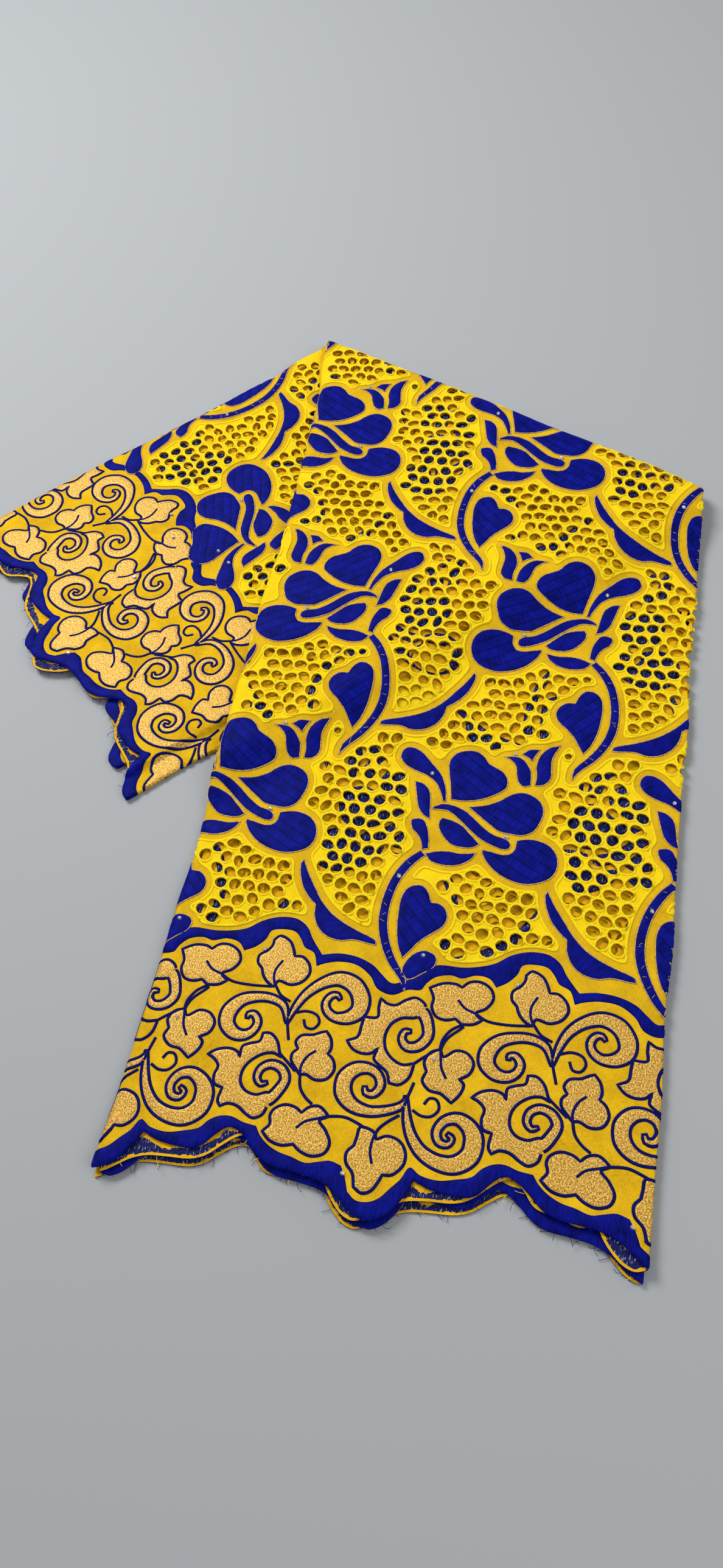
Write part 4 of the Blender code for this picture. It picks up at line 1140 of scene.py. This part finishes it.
MAPLE_LEAVES = {
    "maple_1": ((181.5, 148, 1), (187, 144.5), (193, 144.5), (199, 149), (206, 152), (213, 148),
                (214.5, 141, 1), (207, 137), (198, 135.5), (191, 130), (188, 121), (190, 112),
                (196, 106), (204, 103), (212, 105, 1), (210, 95), (204, 89), (197, 89, 1),
                (194, 96), (188, 100), (183, 104), (184.5, 112, 1), (180, 107.5), (173, 106.5),
                (167, 108.5), (162, 114, 1), (169, 118), (170.5, 126), (171.5, 133, 1), (181, 134),
                (181, 141)),
    "maple_2": ((64, 92, 1), (70, 96.5), (78, 98.5), (85, 97), (88, 93, 1), (88, 101), (94, 104), (100, 106),
                (101, 112, 1), (107, 112), (113, 107), (116, 100), (118, 96, 1), (112, 98.5), (104, 97),
                (96, 91), (92.5, 84), (93, 76), (98, 70), (106, 68), (114, 70.5), (116, 64, 1), (114, 55),
                (108, 51.5), (102, 54), (95, 58.5), (88, 59.5), (83, 57, 1), (80.5, 61), (81.5, 70, 1),
                (75, 72), (73, 78), (74, 85), (69, 90)),
}
MAPLE_CURLS = {
    "maple_1": ((207, 146, 3.0), (213, 141, 4.2), (217, 134, 3.8), (218.5, 125, 3.6), (213, 117.5, 3.4),
                (205, 116, 3.0), (200.5, 120.5, 2.6), (201.5, 126, 2.0), (206, 127, 1.2)),
    "maple_2": ((110, 62, 3.0), (116, 66, 4.0), (121, 73, 3.6), (124, 81, 3.2), (120, 88, 3.0),
                (112, 90.5, 2.8), (105.5, 87, 2.6), (104, 80.5, 2.2), (107.5, 76, 1.8), (112, 77.5, 1.1)),
}
SCROLLS = {
    "upper_left": ((117, 121, 1.0), (112, 133, 2.5), (103, 137.5, 3.0), (92, 138, 3.4), (80, 134.5, 4.4),
                   (72.5, 126, 5.6), (72, 117, 5.4), (78, 110.5, 4.6), (86, 109, 3.6), (92.5, 112.5, 3.0),
                   (95, 119, 2.8), (91.5, 124.5, 2.4), (87, 124.5, 1.8), (86.5, 121.5, 1.2)),
    "upper_right": ((117, 121, 1.0), (121, 134, 2.4), (127, 145, 3.2), (137, 154, 4.0), (149, 158.5, 5.0),
                    (161, 155, 6.0), (167.5, 146, 6.3), (167, 137, 5.6), (160, 131, 4.6), (151, 130, 3.4),
                    (144.5, 134, 2.9), (142.5, 140, 2.6), (145.5, 145.5, 2.3), (150, 146.5, 1.8),
                    (152.5, 143.5, 1.2)),
    "lower_left": ((210, 79, 1.0), (207, 74, 2.5), (198, 69.5, 3.0), (187, 67, 3.5), (175, 69.5, 4.6),
                   (167, 77, 5.7), (166, 87, 5.6), (172, 94.5, 4.8), (181, 96.5, 3.6), (188.5, 93, 3.0),
                   (191.5, 86, 2.9), (188, 79.5, 2.5), (182.5, 79.5, 2.0), (181, 83.5, 1.3)),
    "lower_right": ((210, 82, 1.0), (213.5, 66, 2.6), (218.5, 55, 3.4), (227, 46, 4.2), (239, 41, 5.0),
                    (251, 41, 6.0), (260, 48, 6.6), (261, 58.5, 6.4), (256, 66.5, 5.0), (247, 71, 3.8),
                    (238.5, 68.5, 3.2), (234.5, 61, 2.9), (237.5, 54.5, 2.6), (243.5, 53.5, 2.1),
                    (246, 57.5, 1.8), (242, 60.5, 1.2)),
}
VINES = (
    ((47, 161), (53, 155.5), (61, 152.5), (70, 148), (85, 146.5), (100, 147)),
    ((52, 143), (45, 138), (40, 130), (39, 122)),
    ((104, 168.5), (100, 160), (100.5, 152), (104, 146), (108, 141), (116, 137)),
    ((121, 108.5), (118, 119), (116.6, 125)),
    ((121, 129), (130, 131.5), (138, 129.5), (140.5, 124), (137, 119), (131.5, 119.5), (129, 125)),
    ((212, 105), (218, 110), (226, 116)),
    ((214, 92), (211, 80), (210.2, 75)),
    ((216, 73), (222, 70), (229, 70.5), (233.5, 76), (231, 82), (226, 82.5), (223, 78)),
    ((142, 103), (136.5, 98), (133.5, 91), (134, 84), (136, 76), (141, 70), (147, 66)),
    ((140, 49), (145, 54), (153, 57), (161, 59.5), (172, 60.5), (181, 58), (187, 55.5)),
    ((196, 33), (193.5, 40), (193.5, 48), (196, 56), (201, 62), (208, 68)),
    ((235.5, 97), (231.5, 104), (230, 112), (229.5, 118), (233, 126), (240, 133), (243, 136)),
    ((116, 99), (122, 94), (130, 87)),
)


def on_border(points, far, repeat):
    """A charted line of the border, laid on one repeat of either selvage."""
    spots = (np.array([border_point(*point[:2]) for point in points]) + (repeat * REPEAT / MM, 0)) * MM
    return far_side(spots) if far else spots


def outside_of(ring, others):
    """The stretches of an outline that no other shape covers, as open or closed lines."""
    free = np.ones(len(ring), bool)
    for other in others:
        free &= signed_gap(ring, other) > -COVERED
    if free.all():
        return [(ring, True)]
    first = int(np.argmin(free))
    turned, mask = np.roll(ring, -first, axis=0), np.roll(free, -first)
    pieces, piece = [], []
    for spot, wanted in zip(turned, mask):
        if wanted:
            piece.append(spot)
        elif piece:
            pieces.append(piece)
            piece = []
    pieces += [piece] if piece else []
    return [(np.array(piece), False) for piece in pieces if len(piece) > 3]


def gold_fill(name):
    """Metallic thread laid to and fro, so that each short stitch glints its own way; the glints are painted
    into its colour as painted highlights, with painted shade between them.
    """
    finish, shader, cloth = begin_finish(name, 0.45, 0.22, 0.15)
    glints = cloth.noise(1000.0, 1.0, 0.5)
    grains = cloth.stretched(0.4, (1200.0, 460.0, 1.0)).noise(1.0, 2.0, 0.6)
    # Painted highlights and painted shade: the glints noise runs the colour from dark orange to pale peach.
    colour = (glints * 0.6 + grains * 0.4).colours((0.36, (0.27, 0.13, 0.010)), (0.50, (0.62, 0.33, 0.043)),
                                                   (0.62, (0.95, 0.67, 0.20)))
    set_finish(shader, Base_Color=colour, Roughness=glints.spread(0.30, 0.60),
               Normal=colour.relief(grains, 0.0003))
    return finish


gold_thread = gold_fill("gold_metallic_fill")
# Painted shade: the bindings and vines get a darker copy of the blue satin, for the shade on these narrow
# cords.
binding_satin_painted_shade = satin("binding_satin_painted_shade", (0.001, 0.002, 0.024), (0.007, 0.010, 0.17))
gold_shapes = Stitches()
bindings, vines = [], []
for far in (False, True):
    for repeat in REPEATS:
        rings, curls = {}, {}
        for name, points in {**BORDER_LEAVES, **MAPLE_LEAVES}.items():
            spots = on_border(points, far, repeat)
            spots = [(*spot, *point[2:]) for spot, point in zip(spots, points)]
            rings[name] = smooth_line(spots, BORDER_STEP)
        for name, points in {**MAPLE_CURLS, **SCROLLS}.items():
            spots = on_border(points, far, repeat)
            spots = [(*spot, point[2] * MM) for spot, point in zip(spots, points)]
            curls[name] = stroke(spots, BORDER_STEP)
        groups = [[rings[name]] for name in BORDER_LEAVES]
        groups += [[rings[name], curls[name]] for name in MAPLE_LEAVES]
        groups += [[curls["upper_left"], curls["upper_right"]], [curls["lower_left"], curls["lower_right"]]]
        for group in groups:
            group = [ring for ring in map(clipped, group) if ring is not None]
            group = [ring for ring in group if outline_shown(ring)]
            for number, ring in enumerate(group):
                satin_pad(gold_shapes, ring, GOLD_HEIGHT - number * SHAPE_STEP, spacing=GOLD_SPACING,
                          bands=False, round_edge=GOLD_ROUND)
                others = [other for other in group if other is not ring]
                bindings += outside_of(ring, others)
        for points in VINES:
            line = smooth_line(on_border(points, far, repeat), BORDER_STEP, closed=False)
            inside = (line[:, 0] > CLOTH_LENGTH[0]) & (line[:, 0] < CLOTH_LENGTH[1])
            if inside.sum() > 3 and outline_shown(line[inside]):
                vines.append((line[inside], False))
gold_shapes.piece("gold_border_fill", [gold_thread, gold_thread], "gold_metallic_thread")
for name, lines, width in (("blue_bindings", bindings, BIND_WIDTH), ("blue_vines", vines, VINE_WIDTH)):
    lines = [(across_arcs(line, closed)[0], closed) for line, closed in lines]
    couch(name, lines, binding_satin_painted_shade, "blue_satin_stitch", width, BIND_HEIGHT, 5)


# The wave band parts the border from the net, and the scallop band covers the cut edge. Both are
# broad satin stitch through the voile, so each fold of cloth shows its blue or its flecked reverse.
bands = Stitches()
EDGE_WRAP, BARE_MARGIN, BAND_SPACING = (0.0, -0.0003), 0.0026, 0.0042
WAVE_HEIGHT, SCALLOP_HEIGHT = 0.0009, 0.0010
for far in (False, True):
    for upper, lower, height in ((WAVE_TOP, WAVE_BOTTOM, WAVE_HEIGHT),
                                 (SCALLOP_INSIDE, SCALLOP_LINE + EDGE_WRAP, SCALLOP_HEIGHT)):
        ring = np.concatenate([lower, upper[::-1]])
        if far:
            ring = far_side(ring)
        satin_pad(bands, ring, height, spacing=BAND_SPACING, bands=False, bare=BARE_MARGIN)
bands.piece("blue_edge_bands", [blue_satin, blue_reverse], "blue_satin_stitch")


# Gold cord. A thin metallic cord is couched round every blue petal and leaf, and short stitches of
# the same cord cross the stems.
CORD_WIDTH, CORD_HEIGHT, CORD_OUT = 0.0011, 0.0008, 0.0003
TICK_STEP, TICK_SHARE, TICK_SLIDE, TICK_SLANT = 0.0150, 0.55, 0.4, 0.5
TICK_HALF, TICK_END = (0.0009, 0.0017), 0.004


def metallic_cord(name):
    """Twisted metallic yarn: light where it faces the light, dark between its turns."""
    finish, shader, cloth = begin_finish(name, 0.5, 0.15, 0.1)
    twist = cloth.part(0).wave(CORD_WIDTH) * 0.5 + 0.5
    cord_patches = cloth.noise(350.0, 2.0)
    # Painted highlight on each turn of the twist and painted shade between turns, mixed with random lighter
    # and darker patches.
    colour = (twist * 0.25 + cord_patches * 0.75).colours((0.34, (0.26, 0.13, 0.03)), (0.62, (0.76, 0.52, 0.19)))
    set_finish(shader, Base_Color=colour, Normal=colour.relief(cord_patches, 0.0001))
    return finish


pale_gold = metallic_cord("pale_gold_cord")
draw = np.random.default_rng(31)
ticks = []
for row, column in FLOWERS:
    middle, hand = flower_place(row, column)
    spine = smooth_line([point[:2] for point in STEM], TICK_STEP / MM, closed=False)
    spine = middle + spine * hand * MM
    for here, ahead in zip(spine[1:-2], spine[2:-1]):
        run = (ahead - here) / np.linalg.norm(ahead - here)
        slide = draw.uniform(-TICK_SLIDE, TICK_SLIDE)
        slant = draw.normal(0.0, TICK_SLANT)
        side = (np.array([-run[1], run[0]]) + run * slant) * draw.uniform(*TICK_HALF)
        here = here + (ahead - here) * slide
        inside = CLOTH_LENGTH[0] + TICK_END < here[0] < CLOTH_LENGTH[1] - TICK_END
        if inside and shown(here[:1], here[1:])[0]:
            ticks.append((np.array([here - side, here, here + side]), False))
for name, lines, share, base in (("gold_outline_cord", cord_lines, 1.0, 0.0),
                                 ("gold_stem_ticks", ticks, TICK_SHARE, SATIN_HEIGHT - SATIN_UNDER)):
    lines = [(across_arcs(line, closed)[0], closed) for line, closed in lines]
    couch(name, lines, pale_gold, "gold_metallic_thread", CORD_WIDTH * share, CORD_HEIGHT * share, 4,
          CORD_OUT, base)


# Loose threads. The scallops are trimmed after the embroidery, so short ends of the blue thread,
# and a few of the yellow weft, stand out of the cut edge.
LOOSE_APART, LOOSE_STEPS, LOOSE_ROUND = 0.0060, 6, 0.00017
LOOSE_LENGTH, LOOSE_ROOT, LOOSE_END = (0.0020, 0.0080), 0.0008, 0.015
LOOSE_SPREAD, LOOSE_BEND, LOOSE_LIFT, LOOSE_YELLOW = 0.7, 1.1, 0.0011, 0.15
LOOSE_SHOWN = 0.002              # threads this near the shown cloth stand up a little


def loose_ends(line, outward, draw):
    """Points, faces and kinds of bent thread ends that stand out of a cut edge."""
    x = line[:, 0]
    inside = np.flatnonzero((x > CLOTH_LENGTH[0] + LOOSE_END) & (x < CLOTH_LENGTH[1] - LOOSE_END))
    total = np.linalg.norm(np.diff(line, axis=0), axis=1).sum()
    chosen = draw.choice(inside, int(total / LOOSE_APART), replace=False)
    line, outward, count = line[chosen], outward[chosen], len(chosen)
    share = np.linspace(0.0, 1.0, LOOSE_STEPS)
    length = LOOSE_LENGTH[0] + (LOOSE_LENGTH[1] - LOOSE_LENGTH[0]) * draw.random(count) ** 2
    heading = np.arctan2(outward[:, 1], outward[:, 0]) + draw.normal(0.0, LOOSE_SPREAD, count)
    heading = heading[:, None] + draw.normal(0.0, LOOSE_BEND, count)[:, None] * share
    step = length[:, None] / (LOOSE_STEPS - 1)
    ahead = np.stack([np.cos(heading), np.sin(heading)], axis=2)
    spot = (line - outward * LOOSE_ROOT)[:, None] + np.cumsum(ahead * step[:, :, None], axis=1)
    lift = draw.uniform(0.0, LOOSE_LIFT, count) * shown(*line.T, LOOSE_SHOWN)
    side = np.stack([-ahead[:, :, 1], ahead[:, :, 0]], axis=2)
    points = []
    for turn in range(4):
        angle = turn * math.pi / 2
        flat = spot + side * math.cos(angle) * LOOSE_ROUND
        height = lift[:, None] * share + math.sin(angle) * LOOSE_ROUND
        points.append(np.concatenate([flat, height[:, :, None]], axis=2))
    points = np.stack(points, axis=2).reshape(-1, 3)
    faces = []
    for thread in range(count):
        start = thread * LOOSE_STEPS * 4
        faces.append([start + 3, start + 2, start + 1, start])
        for ring in range(start, start + LOOSE_STEPS * 4 - 4, 4):
            faces += [[ring + k, ring + (k + 1) % 4, ring + (k + 1) % 4 + 4, ring + k + 4] for k in range(4)]
        faces.append([ring + 4, ring + 5, ring + 6, ring + 7])
    return points, faces, np.repeat(draw.random(count) < LOOSE_YELLOW, LOOSE_STEPS * 4 - 2)


draw = np.random.default_rng(12)
points, faces, kinds = [], [], []
for far in (False, True):
    line = edge_line(far)
    outward = right_of(line) * (-1 if far else 1)
    made = loose_ends(line, outward, draw)
    faces += [[corner + sum(map(len, points)) for corner in face] for face in made[1]]
    points.append(made[0])
    kinds.append(made[2])
sew_on(make_piece("loose_threads", np.concatenate(points), faces, [blue_satin, net_thread],
                  np.concatenate(kinds)))


# Rhinestones. Small faceted glass stones are glued here and there on petals, stems and leaves.
STONE_WIDTH, STONE_TOP, STONE_HEIGHT, STONE_BEVEL = 0.0036, 0.54, 0.0016, 0.00018
LOWEST_STONE, STONE_REACH, STONE_END, STONE_IN, STONE_TURN = 0.0060, 0.002, 0.01, 0.002, 0.7
STONE_SEAT = THICK / 2 + SATIN_HEIGHT + STONE_HEIGHT * 0.35
FLOWER_STONES = ((-38, 40), (26, -7), (23, 66), (-49, -51))
BORDER_STONES = ((277, 170), (225, 110), (178, 24), (206, 185))


def cut_glass(name):
    """Clear glass with a foil back, so that every facet returns the light."""
    finish, shader, cloth = begin_finish(name, 0.06, 0.75)
    painted_fire = cloth.noise(700.0, 1.0)
    shader.inputs["IOR"].default_value = 1.55
    # Painted reflections: the glass colour runs from blue-grey to warm white in patches, for the flashes off
    # the facets.
    set_finish(shader, Base_Color=painted_fire.colours((0.35, (0.62, 0.66, 0.72)), (0.55, (0.98, 0.97, 0.93))))
    return finish


stone_places = []
for row, column in FLOWERS:
    middle, hand = flower_place(row, column)
    stone_places += [middle + np.array(spot) * hand * MM for spot in FLOWER_STONES[:2 if row % 2 else 4]]
for far in (False, True):
    for repeat in REPEATS:
        stone_places += list(on_border(BORDER_STONES, far, repeat))
stone_places = np.array([spot for spot in stone_places
                         if STONE_END < spot[0] < CLOTH_LENGTH[1] - STONE_END])
stone_places = stone_places[shown(*stone_places.T, -STONE_IN)]
stone_places = stone_places[folded(*stone_places.T, STONE_REACH)[:, 2] > LOWEST_STONE]
bpy.ops.object.select_all(action="DESELECT")
bpy.ops.mesh.primitive_cone_add(vertices=8, radius1=STONE_WIDTH / 2, radius2=STONE_WIDTH / 2 * STONE_TOP,
                                depth=STONE_HEIGHT)
stone = bpy.context.object
stone.name = stone.data.name = "rhinestones"
bpy.ops.object.mode_set(mode="EDIT")
bpy.ops.mesh.select_all(action="SELECT")
bpy.ops.mesh.bevel(offset=STONE_BEVEL, segments=1, affect="EDGES")
bpy.ops.mesh.select_all(action="DESELECT")
bpy.ops.object.mode_set(mode="OBJECT")
base = np.array([vert.co[:] for vert in stone.data.vertices])
shape = [list(face.vertices) for face in stone.data.polygons]
spots, faces = [], []
for number, (x, y) in enumerate(stone_places):
    cosine, sine = math.cos(STONE_TURN * number), math.sin(STONE_TURN * number)
    flat_x = x + base[:, 0] * cosine - base[:, 1] * sine
    flat_y = y + base[:, 0] * sine + base[:, 1] * cosine
    spots.append(np.column_stack([flat_x, flat_y, STONE_SEAT + base[:, 2]]))
    faces += [[corner + number * len(base) for corner in face] for face in shape]
bpy.data.objects.remove(stone, do_unlink=True)
stones = make_piece("rhinestones", np.concatenate(spots), faces, [cut_glass("clear_rhinestone")])
stones.data.shade_flat()
sew_on(stones)


CLOTH_LENGTH[1] - CLOTH_LENGTH[0]

# The floor: plain, pale and matt.
bpy.ops.object.select_all(action="DESELECT")
bpy.ops.mesh.primitive_plane_add(size=14.0)
floor = bpy.context.object
floor.name = floor.data.name = "studio_floor"
pale, floor_shader = begin_finish("pale_floor", 0.8)[:2]
floor_shader.inputs["Base Color"].default_value = (0.385, 0.402, 0.415, 1.0)
floor.data.materials.append(pale)

# Soft studio light: a large panel above, a smaller one that grazes the stitches, and an even sky.
world = bpy.context.scene.world or bpy.data.worlds.new("studio")
bpy.context.scene.world = world
world.use_nodes = True
world.node_tree.nodes["Background"].inputs["Color"].default_value = (0.95, 0.97, 1.0, 1.0)
world.node_tree.nodes["Background"].inputs["Strength"].default_value = 0.34
for name, place, size, power in (("key_panel", (-0.7, 1.3, 1.7), 0.9, 40),
                                 ("fill_panel", (1.2, -0.9, 1.5), 1.4, 14)):
    lamp = bpy.data.lights.new(name, "AREA")
    lamp.size, lamp.energy = size, power
    light = bpy.data.objects.new(name, lamp)
    light.location = place
    light.rotation_euler = (-Vector(place)).to_track_quat("-Z", "Y").to_euler()
    bpy.context.scene.collection.objects.link(light)

# The camera stands where the photograph was taken from.
CAMERA_PLACE = (-0.0162, -0.4924, 0.8306)
CAMERA_DOWN, CAMERA_ROLL = math.radians(61.54), math.radians(-13.87)
lens = bpy.data.cameras.new("camera")
lens.sensor_fit, lens.sensor_height, lens.sensor_width, lens.lens = "VERTICAL", 36.0, 36.0, 27.04
camera = bpy.data.objects.new("camera", lens)
right = Vector((1, 0, 0))
upward = Vector((0, math.sin(CAMERA_DOWN), math.cos(CAMERA_DOWN)))
cosine, sine = math.cos(CAMERA_ROLL), math.sin(CAMERA_ROLL)
turned_right, turned_up = right * cosine + upward * sine, upward * cosine - right * sine
camera.matrix_world = Matrix.Translation(CAMERA_PLACE) @ Matrix(
    (turned_right, turned_up, turned_right.cross(turned_up))).transposed().to_4x4()
bpy.context.scene.collection.objects.link(camera)
bpy.context.scene.camera = camera
bpy.context.scene.view_settings.view_transform = "Standard"
